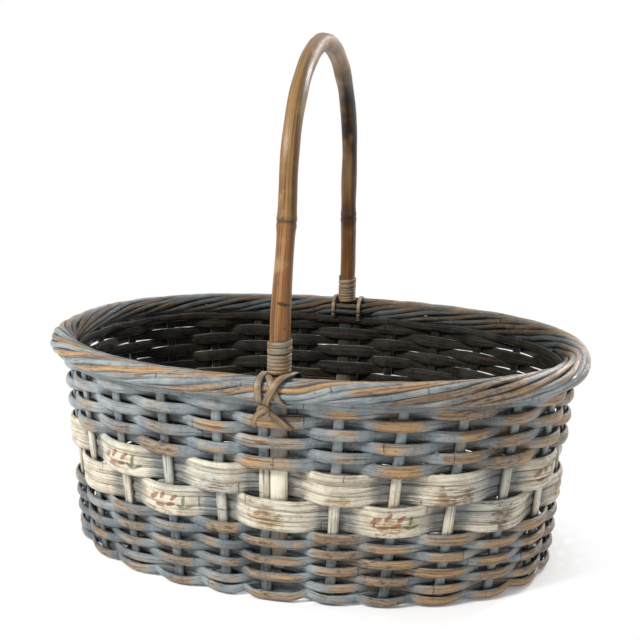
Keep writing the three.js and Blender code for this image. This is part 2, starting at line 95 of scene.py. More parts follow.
# %% Wall surface
RIM_X, RIM_Y, RIM_Z = 215.0, 164.0, 174.0
OVAL_POWER = 2.25
END_TAPER, SIDE_TAPER = 8.0, 20.0
FOOT_IN, FOOT_HIGH = 6.0, 9.0
WALL_IN = 6.0
STAKES = 26
STAKE_TOP = 164.1
FIRST_ROW, LOWER_ROWS, LOWER_PITCH = 8.4, 8, 6.95
LOWER_TOP, ROW_PITCH = 60.525, 8.229


def oval(angle, half_x, half_y, power=OVAL_POWER):
    """Point of |x/a|^p + |y/b|^p = 1 in the direction of each angle."""
    c, s = np.cos(angle), np.sin(angle)
    radius = (np.abs(c / half_x) ** power + np.abs(s / half_y) ** power) ** (-1 / power)
    return np.stack([radius * c, radius * s], axis=-1)


def wall_inset(height, taper):
    """Lean plus a quarter round at the foot, measured in from the border's centre line."""
    low = np.clip(1 - np.maximum(height, 0) / FOOT_HIGH, 0, 1)
    return WALL_IN + taper * (1 - np.minimum(height / STAKE_TOP, 1)) + FOOT_IN * (1 - np.sqrt(1 - low**2))


def wall_point(angle, height):
    """Points of the wall's middle surface at angles and heights."""
    angle, height = np.broadcast_arrays(angle, np.asarray(height, float))
    flat = oval(angle, RIM_X - wall_inset(height, END_TAPER), RIM_Y - wall_inset(height, SIDE_TAPER))
    return np.concatenate([flat, height[..., None]], axis=-1)


def wall_frame(angle, height):
    """Point, tangent round the oval, tangent up the wall and outward normal, by small differences."""
    step = 1e-3
    point = wall_point(angle, height)
    along = unit(wall_point(angle + step, height) - wall_point(angle - step, height))
    up = unit(wall_point(angle, height + step) - point)
    return point, along, up, unit(np.cross(along, up))


def angle_table(point_at):
    """Angle as a function of the share of an oval's length, from the middle of the front."""
    angle = -np.pi / 2 + np.linspace(0, 2 * np.pi, 7201)
    points = point_at(angle)
    length = np.concatenate([[0], np.cumsum(np.linalg.norm(np.diff(points, axis=0), axis=1))])
    return angle, length


wall_angles, wall_lengths = angle_table(lambda a: wall_point(a, STAKE_TOP))
WALL_LENGTH = wall_lengths[-1]
STAKE_STEP = WALL_LENGTH / STAKES


def angle_at(place):
    """Angle of a place counted in stakes round the wall: 0 is the front leg, 13 the back leg."""
    turns = np.floor(np.asarray(place) / STAKES)
    share = np.asarray(place) / STAKES - turns
    return np.interp(share * WALL_LENGTH, wall_lengths, wall_angles) + 2 * np.pi * turns


print("wall", round(WALL_LENGTH), "mm round,", round(STAKE_STEP, 1), "mm from stake to stake")

# %% [markdown]
# ## Canes
# A cane is a flat oval section carried along a path. The path is a whole array of points, and each point
# has two directions: across the width and through the thickness. Beside the shape, each cane stores what
# its finish and its painted shade need: where the paint is rubbed through, which side faces the inside, how
# deep a spot lies in the weave, and a UV map in metres so that the grain runs along the cane. On the
# painted canes, the inside faces and the deep spots are darkened as painted shade.

# %% Sweep a section along a path
FLOATS = ("wear", "inner", "deep", "cream", "shade")


def smooth(low, high, value):
    """0 below low, 1 above high, with an S curve between."""
    t = np.clip((value - low) / (high - low), 0, 1)
    return t * t * (3 - 2 * t)


def wobble(places, seed, waves=5, period=STAKES):
    """Sum of a few sine waves with whole numbers of turns in the period and seeded phases, about -1 to 1."""
    source = np.random.default_rng(seed)
    turns = source.integers(2, 5 + 4 * waves, waves)
    phase = source.uniform(0, 2 * np.pi, waves)
    return np.sin(2 * np.pi * np.outer(places, turns) / period + phase).sum(axis=1) / math.sqrt(waves)


def sweep_grid(centre, across, through, half_wide, half_thick, sides, power=2.4, crown=0.0):
    """Grid of points: centre + width * across + thickness * through round a squared-oval section.

    The crown makes the outer face fuller and the inner face flatter, as in half-round cane."""
    turn = 2 * np.pi * (np.arange(sides) + 0.5) / sides
    c, s = np.cos(turn), np.sin(turn)
    ring = np.stack([np.sign(c) * np.abs(c) ** (2 / power), np.sign(s) * np.abs(s) ** (2 / power)])
    ring[1] *= 1 + crown * np.sign(s)
    half_wide = np.broadcast_to(half_wide, centre.shape[:1])
    half_thick = np.broadcast_to(half_thick, centre.shape[:1])
    wide = (half_wide[:, None] * ring[0])[..., None] * across[:, None, :]
    thick = (half_thick[:, None] * ring[1])[..., None] * through[:, None, :]
    return centre[:, None, :] + wide + thick, s


def grid_faces(stations, sides, ring):
    """Quads between neighbours of a grid that closes round the section, and round the path for a ring."""
    i = np.arange(stations if ring else stations - 1)[:, None]
    j = np.arange(sides)[None, :]
    here, beside = i * sides + j, i * sides + (j + 1) % sides
    step = (i + 1) % stations
    ahead, corner = step * sides + j, step * sides + (j + 1) % sides
    return np.stack([here, beside, corner, ahead], axis=-1).reshape(-1, 4)


def path_length(centre):
    """Running length along a path, from 0."""
    return np.concatenate([[0], np.cumsum(np.linalg.norm(np.diff(centre, axis=0), axis=1))])


def corner_uv(centre, sides, ring, start, girth):
    """UV in metres at the four corners of every quad: length along the cane and length round its section."""
    run = start + path_length(np.concatenate([centre, centre[:1]]) if ring else centre)
    round_at = np.linspace(0, girth, sides + 1)
    uv = np.empty((len(run) - 1, sides, 4, 2))
    uv[..., 0:2, 0] = run[:-1, None, None]
    uv[..., 2:4, 0] = run[1:, None, None]
    uv[..., [0, 3], 1] = round_at[None, :-1, None]
    uv[..., [1, 2], 1] = round_at[None, 1:, None]
    return uv.reshape(-1, 4, 2) * MM


def cane_data(centre, across, through, half_wide, half_thick, sides=12, ring=False, values=None, wall=None,
              power=2.4, crown=0.0, start=0.0):
    """Arrays of one swept cane: points, quads, caps, UV in metres and finish values per point."""
    points, facing = sweep_grid(centre, across, through, half_wide, half_thick, sides, power, crown)
    count = len(centre)
    quads = grid_faces(count, sides, ring)
    caps = [] if ring else [list(range(sides))[::-1], list(range((count - 1) * sides, count * sides))]
    found = {name: np.zeros((count, sides)) for name in FLOATS}
    for name, value in (values or {}).items():
        value = value(facing) if callable(value) else value
        found[name] = np.broadcast_to(value, (count, sides))
    if wall is None:
        wall = np.zeros((count, sides, 3))
    return {"points": points.reshape(-1, 3), "quads": quads, "caps": caps,
            "uv": corner_uv(centre, sides, ring, start, 2 * np.pi * np.mean(half_wide)),
            "cap_uv": np.tile(np.linspace(0, 0.004, sides)[:, None], (len(caps), 2)),
            "wall": np.asarray(wall).reshape(-1, 3),
            "floats": {name: found[name].reshape(-1) for name in FLOATS}}


def join_canes(parts):
    """Several canes as one set of arrays."""
    starts = np.cumsum([0, *[len(p["points"]) for p in parts]])
    caps = [[v + s for v in cap] for p, s in zip(parts, starts) for cap in p["caps"]]
    return {"points": np.concatenate([p["points"] for p in parts]),
            "quads": np.concatenate([p["quads"] + s for p, s in zip(parts, starts)]), "caps": caps,
            "uv": np.concatenate([p["uv"] for p in parts]),
            "cap_uv": np.concatenate([p["cap_uv"] for p in parts]),
            "wall": np.concatenate([p["wall"] for p in parts]),
            "floats": {n: np.concatenate([p["floats"][n] for p in parts]) for n in FLOATS}}


def add_piece(name, data, material, slot, *replaced):
    """Mesh object at the origin from arrays in millimetres, riding on the basket's one body."""
    mesh = bpy.data.meshes.new(name)
    mesh.from_pydata((data["points"] * MM).tolist(), [], data["quads"].tolist() + data["caps"])
    uv = np.concatenate([data["uv"].reshape(-1, 2), data["cap_uv"]]).astype(np.float32)
    mesh.uv_layers.new(name="cane").data.foreach_set("uv", uv.ravel())
    for key, value in data["floats"].items():
        mesh.attributes.new(key, "FLOAT", "POINT").data.foreach_set("value", value.astype(np.float32))
    wall = mesh.attributes.new("wall", "FLOAT_VECTOR", "POINT")
    wall.data.foreach_set("vector", data["wall"].astype(np.float32).ravel())
    mesh.polygons.foreach_set("use_smooth", np.ones(len(mesh.polygons), dtype=bool))
    mesh.materials.append(material)
    piece = bpy.data.objects.new(name, mesh)
    bpy.context.collection.objects.link(piece)
    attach(piece, "root")
    if replaced:
        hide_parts(*replaced)
    return piece


# %% [markdown]
# ## Painted cane
# The paint is a chalky slate grey-blue with a cream band. It has worn through to the ochre cane wherever a
# cane stands proud. The hollows are darkened with painted shade, slate in the cream band and near black
# elsewhere, and the inside faces are bare stained cane darkened further with painted shade. One material
# serves every painted cane and reads the values stored on it. Long thin noise on the UV map is the grain,
# and it also breaks up the edge of the worn patches, as brushed paint wears along the fibres first.

# %% Node helpers and the painted cane


def linear(red, green, blue):
    """A display colour from 0 to 255 as the linear colour that the shader reads."""
    c = np.array([red, green, blue]) / 255
    return [*np.where(c <= 0.04045, c / 12.92, ((c + 0.055) / 1.055) ** 2.4).tolist(), 1.0]


class Nodes:
    """A material's node tree with short calls for the nodes used here."""

    def __init__(self, name):
        self.material = bpy.data.materials.new(name)
        self.material.use_nodes = True
        self.tree = self.material.node_tree
        self.shader = self.tree.nodes["Principled BSDF"]

    def add(self, kind, **settings):
        node = self.tree.nodes.new(kind)
        for key, value in settings.items():
            setattr(node, key, value)
        return node

    def put(self, socket, value):
        if isinstance(value, bpy.types.NodeSocket):
            self.tree.links.new(value, socket)
        else:
            socket.default_value = value

    def math(self, operation, first, second=0.0, clamp=False):
        node = self.add("ShaderNodeMath", operation=operation, use_clamp=clamp)
        self.put(node.inputs[0], first)
        self.put(node.inputs[1], second)
        return node.outputs[0]

    def ramp(self, value, low, high, to_low=0.0, to_high=1.0):
        node = self.add("ShaderNodeMapRange", interpolation_type="SMOOTHSTEP")
        for socket, item in zip(node.inputs, (value, low, high, to_low, to_high)):
            self.put(socket, item)
        return node.outputs[0]

    def mix(self, share, first, second, blend="MIX"):
        node = self.add("ShaderNodeMix", data_type="RGBA", blend_type=blend)
        self.put(node.inputs[0], share)
        self.put(node.inputs[6], first)
        self.put(node.inputs[7], second)
        return node.outputs[2]

    def attribute(self, name, output="Fac"):
        return self.add("ShaderNodeAttribute", attribute_name=name).outputs[output]

    def scaled(self, vector, scale, shift=(0, 0, 0)):
        node = self.add("ShaderNodeMapping")
        self.put(node.inputs["Vector"], vector)
        node.inputs["Scale"].default_value = scale
        node.inputs["Location"].default_value = shift
        return node.outputs[0]

    def noise(self, vector, scale, detail=4.0, rough=0.55):
        node = self.add("ShaderNodeTexNoise")
        self.put(node.inputs["Vector"], vector)
        node.inputs["Scale"].default_value = scale
        node.inputs["Detail"].default_value = detail
        node.inputs["Roughness"].default_value = rough
        return node.outputs[0]

    def bump(self, height, strength, distance):
        node = self.add("ShaderNodeBump")
        node.inputs["Strength"].default_value = strength
        node.inputs["Distance"].default_value = distance
        self.put(node.inputs["Height"], height)
        self.put(self.shader.inputs["Normal"], node.outputs[0])


SLATE = linear(110, 119, 124)
SLATE_PALE = linear(146, 155, 156)
SLATE_DARK = linear(68, 77, 83)
CREAM = linear(184, 173, 150)
CREAM_BRIGHT = linear(216, 208, 188)
OCHRE = linear(146, 105, 60)
OCHRE_PALE = linear(206, 170, 116)
BROWN = linear(86, 59, 37)
BARK = linear(58, 44, 33)
WEATHERED = linear(128, 116, 102)
# the inside faces: bare stained cane, darkened further as painted shade; on the handle's tongue, painted shade
# alone
INSIDE = linear(22, 21, 16)
INSIDE_PALE = linear(46, 44, 36)
# near black: the dark grain lines and joints, and painted shade in the hollows and under strips
GRIME_AND_SHADE = linear(27, 26, 24)
JOINT_STEP, JOINT_WIDE = 0.137, 0.0006  # metres between the joints of the plant along a cane


def joint_line(m, uv, patch):
    """1 on the thin dark rings that the plant leaves at its joints, skipping some of them."""
    parts = m.add("ShaderNodeSeparateXYZ")
    m.put(parts.inputs[0], uv)
    along = m.math("ADD", parts.outputs[0], m.math("MULTIPLY", patch, 0.006))
    near = m.math("ABSOLUTE", m.math("SUBTRACT", m.math("FLOORED_MODULO", along, JOINT_STEP), JOINT_STEP / 2))
    line = m.ramp(near, JOINT_WIDE * 0.4, JOINT_WIDE, 1.0, 0.0)
    return m.math("MULTIPLY", line, m.ramp(patch, 0.46, 0.54, 0.0, 0.8))


def painted_cane(name, sprigs=False):
    """Paint, worn to bare cane where wear is high, with painted shade in the hollows and on the inside faces,
    which are also stained bare cane.
    """
    m = Nodes(name)
    uv = m.add("ShaderNodeUVMap", uv_map="cane").outputs[0]
    place = m.add("ShaderNodeTexCoord").outputs["Object"]
    grain = m.noise(m.scaled(uv, (30, 900, 1)), 1.0, 5, 0.7)
    streak = m.noise(m.scaled(uv, (9, 380, 1), (3, 7, 0)), 1.0, 4, 0.65)
    patch = m.noise(place, 55, 6, 0.7)
    blotch = m.noise(m.scaled(place, (1, 1, 1), (4, 2, 9)), 15, 3, 0.5)
    chips = m.noise(m.scaled(uv, (170, 520, 1), (1, 8, 0)), 1.0, 5, 0.75)
    wear, inner = m.attribute("wear"), m.attribute("inner")
    deep, cream = m.attribute("deep"), m.attribute("cream")
    slate = m.mix(m.ramp(patch, 0.36, 0.64), SLATE, SLATE_PALE)
    slate = m.mix(m.ramp(blotch, 0.46, 0.66, 0.0, 0.85), slate, SLATE_DARK)
    slate = m.mix(m.ramp(streak, 0.52, 0.7, 0.0, 0.45), slate, WEATHERED)
    bare = m.mix(m.ramp(grain, 0.38, 0.66), OCHRE, OCHRE_PALE)
    bare = m.mix(m.ramp(streak, 0.46, 0.6, 0.0, 0.85), bare, BROWN)
    bare = m.mix(m.ramp(blotch, 0.44, 0.62, 0.0, 0.65), bare, WEATHERED)
    bark = m.math("MULTIPLY", m.ramp(chips, 0.5, 0.57), m.ramp(blotch, 0.49, 0.58, 0.15, 0.85))
    bare = m.mix(bark, bare, BARK)
    wash = m.mix(m.ramp(patch, 0.4, 0.62), CREAM_BRIGHT, CREAM)
    wash = m.mix(m.ramp(blotch, 0.46, 0.66, 0.0, 0.55), wash, SLATE_PALE)
    wash = m.mix(m.ramp(streak, 0.5, 0.64, 0.0, 0.65), wash, WEATHERED)
    rough_edge = m.math("ADD", m.math("MULTIPLY", m.math("SUBTRACT", patch, 0.5), 1.5),
                        m.math("MULTIPLY", m.math("SUBTRACT", grain, 0.5), 1.9))
    rough_edge = m.math("ADD", rough_edge, m.math("MULTIPLY", m.math("SUBTRACT", blotch, 0.5), 1.2))
    rough_edge = m.math("ADD", rough_edge, m.math("MULTIPLY", m.math("SUBTRACT", chips, 0.5), 1.1))
    # painted shade: in the hollows of the cream band the colour turns towards slate
    recess_shade = m.ramp(m.math("ADD", deep, m.math("MULTIPLY", rough_edge, 0.9)), 0.3, 1.2, 0.0, 0.75)
    wash = m.mix(recess_shade, wash, SLATE)
    worn = m.ramp(m.math("ADD", wear, rough_edge), 0.34, 0.78)
    worn_cream = m.ramp(m.math("ADD", wear, rough_edge), 0.82, 1.0, 0.0, 0.95)
    paint = m.mix(cream, slate, wash)
    share = m.add("ShaderNodeMix", data_type="FLOAT")
    m.put(share.inputs[0], cream)
    m.put(share.inputs[2], worn)
    m.put(share.inputs[3], worn_cream)
    colour = m.mix(share.outputs[0], paint, bare)
    if sprigs:
        colour = add_sprigs(m, colour, rough_edge)
    # the inside faces: bare stained cane, darkened further as painted shade
    inside_stain_and_shade = m.mix(m.ramp(patch, 0.4, 0.68), INSIDE, INSIDE_PALE)
    inside_stain_and_shade = m.mix(m.ramp(streak, 0.52, 0.68, 0.0, 0.5), inside_stain_and_shade, BROWN)
    colour = m.mix(inner, colour, inside_stain_and_shade)
    # painted shade: the deep spots of the weave darken towards near black
    colour = m.mix(m.math("MULTIPLY", deep, m.ramp(grain, 0.25, 0.7, 0.15, 0.6)), colour, GRIME_AND_SHADE)
    colour = m.mix(m.ramp(grain, 0.53, 0.63, 0.0, 0.68), colour, GRIME_AND_SHADE)
    colour = m.mix(m.ramp(chips, 0.61, 0.66, 0.0, 0.75), colour, BROWN)
    colour = m.mix(m.ramp(chips, 0.36, 0.32, 0.0, 0.45), colour, OCHRE_PALE)
    ring = joint_line(m, uv, patch)
    colour = m.mix(m.math("MULTIPLY", ring, 0.8), colour, GRIME_AND_SHADE)
    m.put(m.shader.inputs["Base Color"], colour)
    m.put(m.shader.inputs["Roughness"], m.ramp(patch, 0.35, 0.65, 0.24, 0.5))
    m.put(m.shader.inputs["Specular IOR Level"], m.ramp(inner, 0.0, 1.0, 0.5, 0.12))
    height = m.math("ADD", grain, m.math("MULTIPLY", streak, 1.1))
    height = m.math("SUBTRACT", height, m.math("MULTIPLY", m.ramp(chips, 0.6, 0.72), 0.5))
    m.bump(m.math("SUBTRACT", height, ring), 0.9, 0.0009)
    return m.material


# %% [markdown]
# ## Painted sprigs
# The cream band carries small brushed sprigs: a few russet leaves and some green shoots, on chosen bows of
# the band. Each dab is an oval, turned and stretched by a Mapping node, in lengths measured from the middle
# of the nearest sprig: these are stored on the band's canes, with a 1 near a sprig and a 0 elsewhere.

# %% Sprigs in the material
SPRIG_PLACES = [(24, 73), (2, 73), (8, 73), (14, 73), (20, 73), (5, 97.5), (11, 97.5), (17, 97.5), (23, 97.5)]
SPRIG_REACH = 24.0
RUSSET = linear(142, 84, 56)
GREEN = linear(96, 104, 52)
# place along, height, angle in degrees, half length, half width, all lengths in millimetres
LEAVES = [(-13, 2, 30, 5.2, 2.1), (-8, -4, 4, 5.0, 1.9), (-4, 5, 58, 4.8, 1.9), (2, -2, 16, 5.2, 2.1),
          (6, 4, 44, 4.4, 1.8)]
SHOOTS = [(11, -3.4, 150, 4.2, 1.5), (13.6, 1.8, 82, 4.6, 1.5), (17.4, -3.2, 24, 4.2, 1.5)]


def sprig_space(place, height):
    """Lengths from the nearest sprig in metres, along and up, and 1 within its reach."""
    place, height = np.broadcast_arrays(place, height)
    found = np.zeros((*place.shape, 3))
    for stake, middle in SPRIG_PLACES:
        along = ((place - stake + STAKES / 2) % STAKES - STAKES / 2) * STAKE_STEP
        near = (np.abs(along) < SPRIG_REACH) & (np.abs(height - middle) < 12.2)
        found[near] = np.stack([along * MM, (height - middle) * MM, np.ones(place.shape)], axis=-1)[near]
    return found


def dab(m, flat, along, height, turn, half_long, half_wide):
    """1 inside an oval dab, 0 outside, with a soft edge."""
    node = m.add("ShaderNodeMapping", vector_type="TEXTURE")
    m.put(node.inputs["Vector"], flat)
    node.inputs["Location"].default_value = (along * MM, height * MM, 0)
    node.inputs["Rotation"].default_value = (0, 0, math.radians(turn))
    node.inputs["Scale"].default_value = (half_long * MM, half_wide * MM, 1)
    size = m.add("ShaderNodeVectorMath", operation="LENGTH")
    m.put(size.inputs[0], node.outputs[0])
    return m.ramp(size.outputs["Value"], 0.75, 1.1, 1.0, 0.0)


def add_sprigs(m, colour, rough_edge):
    """The band's colour with leaves and shoots over it, broken where the paint is worn."""
    wall = m.attribute("wall", "Vector")
    parts = m.add("ShaderNodeSeparateXYZ")
    m.put(parts.inputs[0], wall)
    flat = m.add("ShaderNodeCombineXYZ")
    m.put(flat.inputs[0], parts.outputs[0])
    m.put(flat.inputs[1], parts.outputs[1])
    kept = m.ramp(rough_edge, -0.1, 0.5, 0.9, 0.2)
    kept = m.math("MULTIPLY", kept, m.ramp(parts.outputs[2], 0.9, 1.0))
    for paint, dabs in ((RUSSET, LEAVES), (GREEN, SHOOTS)):
        cover = 0.0
        for shape in dabs:
            cover = m.math("MAXIMUM", dab(m, flat.outputs[0], *shape), cover)
        colour = m.mix(m.math("MULTIPLY", cover, kept), colour, paint)
    return colour


painted = painted_cane("painted_cane")
painted_band = painted_cane("painted_band", sprigs=True)
print("materials", painted.name, painted_band.name)

# %% [markdown]
# ## Weavers
# Each row is one long cane that passes in front of one stake and behind the next. Between two stakes it
# crosses from side to side on an S curve, and over a stake it bows a little. The rows of a band share
# their stakes. A slow wobble is common to all the rows, so that neighbours stay beside each other.

# %% Rows of weavers
WEAVER_HALF_WIDE, LOWER_HALF_WIDE, WEAVER_HALF_THICK = 4.35, 3.62, 1.9
BOW_SPREAD, HIDDEN_SPREAD = 0.1, 0.95  # added half width where a row passes outside a stake, and behind one
ROW_SWAY = 0.25  # rise and fall of each single row
BESIDE_BAND = 0.7  # added half width of the two rows beside the band
STAKE_HALF_WIDE, STAKE_HALF_THICK = 4.0, 2.0
PASS, LEG_PASS = 3.85, 4.9
TOP_LIFT = 2.0  # the upper rows are beaten up under the border
FOOT_DIP, FOOT_DROP = 1.1, 0.9  # the lowest row dips where it passes outside a stake, and lies low all round
LEG_PLACES = (0, 13)
BAND_LOW, BAND_HIGH = LOWER_TOP, LOWER_TOP + 6 * ROW_PITCH


def row_names():
    """Node name and parity of each row from the floor up: parity tells which stakes it passes outside."""
    rows = [(f"lower_weaver_{i + 1}", i % 2) for i in range(8)]
    rows += [(f"lower_band_weaver_{i + 1}", 0) for i in range(3)]
    rows += [(f"upper_band_weaver_{i + 1}", 1) for i in range(3)]
    return rows + [(f"upper_weaver_{i + 1}", i % 2) for i in range(6)]


def pass_keys(parity):
    """Places where a row starts and stops lying against a stake, with its offset from the wall there."""
    index = np.arange(-1, STAKES + 2)
    at_leg = np.isin(index % STAKES, LEG_PLACES)
    side = np.where(index % 2 == parity, 1.0, -1.0)
    before = np.where(at_leg, 14.6, 4.2) / STAKE_STEP
    after = np.where(at_leg, 9.4, 4.2) / STAKE_STEP
    places = np.stack([index - before, index + after], axis=1).ravel()
    return places, np.repeat(side * np.where(at_leg, LEG_PASS, PASS), 2)


def row_offset(place, parity):
    """Offset from the wall at places: held on a stake with a slight bow, on an S curve between stakes."""
    places, offsets = pass_keys(parity)
    place = place % STAKES
    k = np.clip(np.searchsorted(places, place, side="right") - 1, 0, len(places) - 2)
    t = (place - places[k]) / (places[k + 1] - places[k])
    held = offsets[k] == offsets[k + 1]
    bow = np.where(held, 0.45 * np.sin(np.pi * t) * np.sign(offsets[k]), 0)
    return offsets[k] + (offsets[k + 1] - offsets[k]) * (t * t * (3 - 2 * t)) + bow


def shared_sway(place, height):
    """Slow rise and fall that neighbouring rows share, fading out at the foot and the border."""
    fade = np.clip(np.minimum(height, 158 - height) / 40, 0, 1)
    return fade * (0.9 * np.sin(2 * np.pi * place * 3 / STAKES + height / 31)
                   + 0.7 * np.sin(2 * np.pi * place * 7 / STAKES - height / 23))


def row_finish_and_shade(place, offset, height, seed, in_band):
    """Wear on the bowed outside, painted shade where the row dives behind, and a dark inside of stained cane
    and painted shade, for each point of the section.

    Every bow has its own share of wear; the right of the basket and the lower rows are rubbed most. The extra
    wear on the right is partly painted shade, on the side away from the key lamp."""
    proud = smooth(0.2, 3.6, offset)[:, None]
    bows = np.random.default_rng(seed).uniform(-0.24, 0.24, STAKES)
    own = np.interp(place % STAKES, np.arange(STAKES + 1), np.append(bows, bows[0]))
    # the sine adds wear on the right: partly real wear, partly painted shade on the side away from the key lamp
    rubbed = 0.26 * np.sin(2 * np.pi * (place - 0.8) / STAKES) + (0.18 if height < 65 else 0.14)
    worn = (own + rubbed + 0.08 * wobble(place, seed, 6))[:, None] + 0.12 + 0.44 * proud
    return {"wear": lambda facing: worn * smooth(-0.3, 0.6, facing)[None, :],
            # inside faces: bare stained cane that the material darkens further as painted shade
            "inner": lambda facing: smooth(0.15, -0.55, facing)[None, :],
            # painted shade: deep darkens the outer face where the row dives behind a stake
            "deep": lambda facing: smooth(0.8, -3.5, offset)[:, None] * smooth(-0.2, 0.4, facing)[None, :],
            "cream": 1.0 if in_band else 0.0}


def row_height(row):
    """Height of a row's middle: narrow canes up to the band, wider ones from there."""
    if row < LOWER_ROWS:
        return FIRST_ROW + row * LOWER_PITCH
    return LOWER_TOP + (row - LOWER_ROWS + 0.5) * ROW_PITCH


def row_cane(row, parity):
    """One cane round the wall, offset in and out, with its own slight changes of width.

    It starts behind a stake near the back, where its two ends meet out of sight."""
    place = 17 + (parity + 1) % 2 + np.arange(STAKES * 12) / 12
    height = row_height(row)
    offset = row_offset(place, parity)
    level = height + shared_sway(place, height) + TOP_LIFT * (row / 19) ** 2
    if not BAND_LOW < height < BAND_HIGH:
        level = level + ROW_SWAY * wobble(place, 250 + row, 4)
    if row == 0:
        level = level - FOOT_DROP - FOOT_DIP * np.clip(offset / PASS, -0.4, 1)
    point, along, up, out = wall_frame(angle_at(place), level)
    centre = point + out * (offset + 0.15 * wobble(place, 100 + row))[:, None]
    in_band = BAND_LOW < height < BAND_HIGH
    spread = np.where(offset > 0, BOW_SPREAD, HIDDEN_SPREAD) * smooth(1.0, PASS, np.abs(offset))
    spread = 0.15 if in_band else spread
    half = WEAVER_HALF_WIDE if row >= LOWER_ROWS else LOWER_HALF_WIDE
    wide = (half + spread) * (1 + 0.03 * wobble(place, 200 + row))
    wide = wide + (BESIDE_BAND if row in (LOWER_ROWS - 1, LOWER_ROWS + 6) else 0)
    sides = 16
    turn = 2 * np.pi * (np.arange(sides) + 0.5) / sides
    flat = sprig_space(place[:, None], level[:, None] + wide[:, None] * np.cos(turn))
    return cane_data(centre, up, out, wide, WEAVER_HALF_THICK, sides, True,
                     row_finish_and_shade(place, offset, height, 300 + 2 * row + parity, in_band), flat, crown=0.3,
                     start=row * 370.0)


def make_row(row, name, parity):
    """One row as a piece. The lowest is twined: a second cane takes the stakes that the first one skips."""
    in_band = BAND_LOW < row_height(row) < BAND_HIGH
    data = row_cane(row, parity)
    if row == 0:
        data = join_canes([data, row_cane(row, 1 - parity)])
    slot = "cream_cane" if in_band else ("worn_cane" if row < LOWER_ROWS else "grey_cane")
    return add_piece(f"row_{row + 1:02d}", data, painted_band if in_band else painted, slot, name)


for row, (name, parity) in enumerate(row_names()):
    make_row(row, name, parity)
print("rows", row + 1)

# %% [markdown]
# ## Spokes and stakes
# A spoke is one cane from the border on one side, down the wall, under the base and up the other side.
# Its path is a smooth curve through the same key points as the solid, so it can be evenly resampled.
# The width turns from the wall's tangent to the base's sideways direction along the bend.

# %% Spokes
FLAT_FROM, FLAT_TO, MAT_EDGE, MAT_Z = 4.2, 7.0, 14.0, 8.6
LEG_SIDE, PAIR_SIDE = 2.0, 9.5
MAT_SPREAD = 0.9  # added half width in the base mat, where the canes are beaten flat
MAT_FROM, MAT_TO = 202.0, 212.0  # lengths from the top of a stake over which it widens
SPOKE_STEP = 3.2  # length between two sections
UP = np.array([0.0, 0.0, 1.0])


def resample(points, spacing, *others):
    """A smooth path through key points: Catmull-Rom, then even steps; others follow linearly."""
    points = np.asarray(points, float)
    chord = np.sqrt(np.linalg.norm(np.diff(points, axis=0), axis=1))
    key = np.concatenate([[0], np.cumsum(chord)])
    slope = np.gradient(points, key, axis=0)
    t = np.linspace(0, key[-1], 40 * len(points))
    k = np.clip(np.searchsorted(key, t, side="right") - 1, 0, len(key) - 2)
    h = (key[k + 1] - key[k])[:, None]
    s = ((t - key[k]) / h[:, 0])[:, None]
    fine = ((2 * s**3 - 3 * s**2 + 1) * points[k] + (s**3 - 2 * s**2 + s) * h * slope[k]
            + (3 * s**2 - 2 * s**3) * points[k + 1] + (s**3 - s**2) * h * slope[k + 1])
    length = path_length(fine)
    even = np.linspace(0, length[-1], max(int(length[-1] / spacing), 8) + 1)
    path = np.stack([np.interp(even, length, fine[:, a]) for a in range(3)], axis=1)
    at = np.interp(even, length, t)
    follow = [np.stack([np.interp(at, key, np.asarray(o)[:, a]) for a in range(3)], axis=1) for o in others]
    return path, follow


def stake_place(index):
    """Place round the wall of a stake, moved aside where a leg of the handle stands."""
    return index - (PAIR_SIDE / STAKE_STEP if index % STAKES in LEG_PLACES else 0)


def spoke_end(index, inward, side, turn, level):
    """Key points, width and thickness directions of one end, from the stake's top to the edge of the mat."""
    heights = np.array([STAKE_TOP + 3, 142, 120, 96, 72, 48, 30, 18, 10.5, 6.75])
    point, along, _, out = wall_frame(angle_at(stake_place(index)), heights)
    slant = abs(np.dot(unit(out[-1] * [1, 1, 0]), inward))
    corner = STAKE_HALF_WIDE * math.sqrt(1 - slant**2)
    low = point[-1] * [1, 1, 0]
    flat_to = low + inward * (FLAT_TO + corner) / slant
    keys = [low + inward * (FLAT_FROM * 0.3 + 0.6 * corner) / slant + UP * 3.4,
            low + inward * (FLAT_FROM + corner) / slant + UP * 2.3, flat_to + UP * 2.3,
            flat_to + inward * (MAT_EDGE - FLAT_TO) + UP * (MAT_Z + level / 2)]
    bent = unit(along[-1] * turn + side)
    widths = np.concatenate([along * turn, [bent, side, side, side]])
    thicks = np.concatenate([out, [unit(out[-1] - UP), -UP, -UP, -UP]])
    return np.concatenate([point, keys]), widths, thicks


def spoke_keys(start, end, middle):
    """Both ends of a spoke joined through the crossings of the mat."""
    first = wall_point(angle_at(stake_place(start)), 6.75)
    last = wall_point(angle_at(stake_place(end)), 6.75)
    direction = unit((last - first) * [1, 1, 0])
    side = np.cross(direction, UP)
    levels = [p[2] - MAT_Z for p in middle] or [0, 0]
    a = spoke_end(start, direction, side, 1, levels[0])
    b = [part[::-1] for part in spoke_end(end, -direction, side, -1, levels[-1])]
    if not middle:
        middle = [first + direction * np.linalg.norm((last - first)[:2]) * f for f in (0.3, 0.5, 0.7)]
        middle = [np.array([p[0], p[1], MAT_Z]) for p in middle]
    mid = np.array(middle)
    return (np.concatenate([a[0], mid, b[0]]), np.concatenate([a[1], np.tile(side, (len(mid), 1)), b[1]]),
            np.concatenate([a[2], np.tile(-UP, (len(mid), 1)), b[2]]))


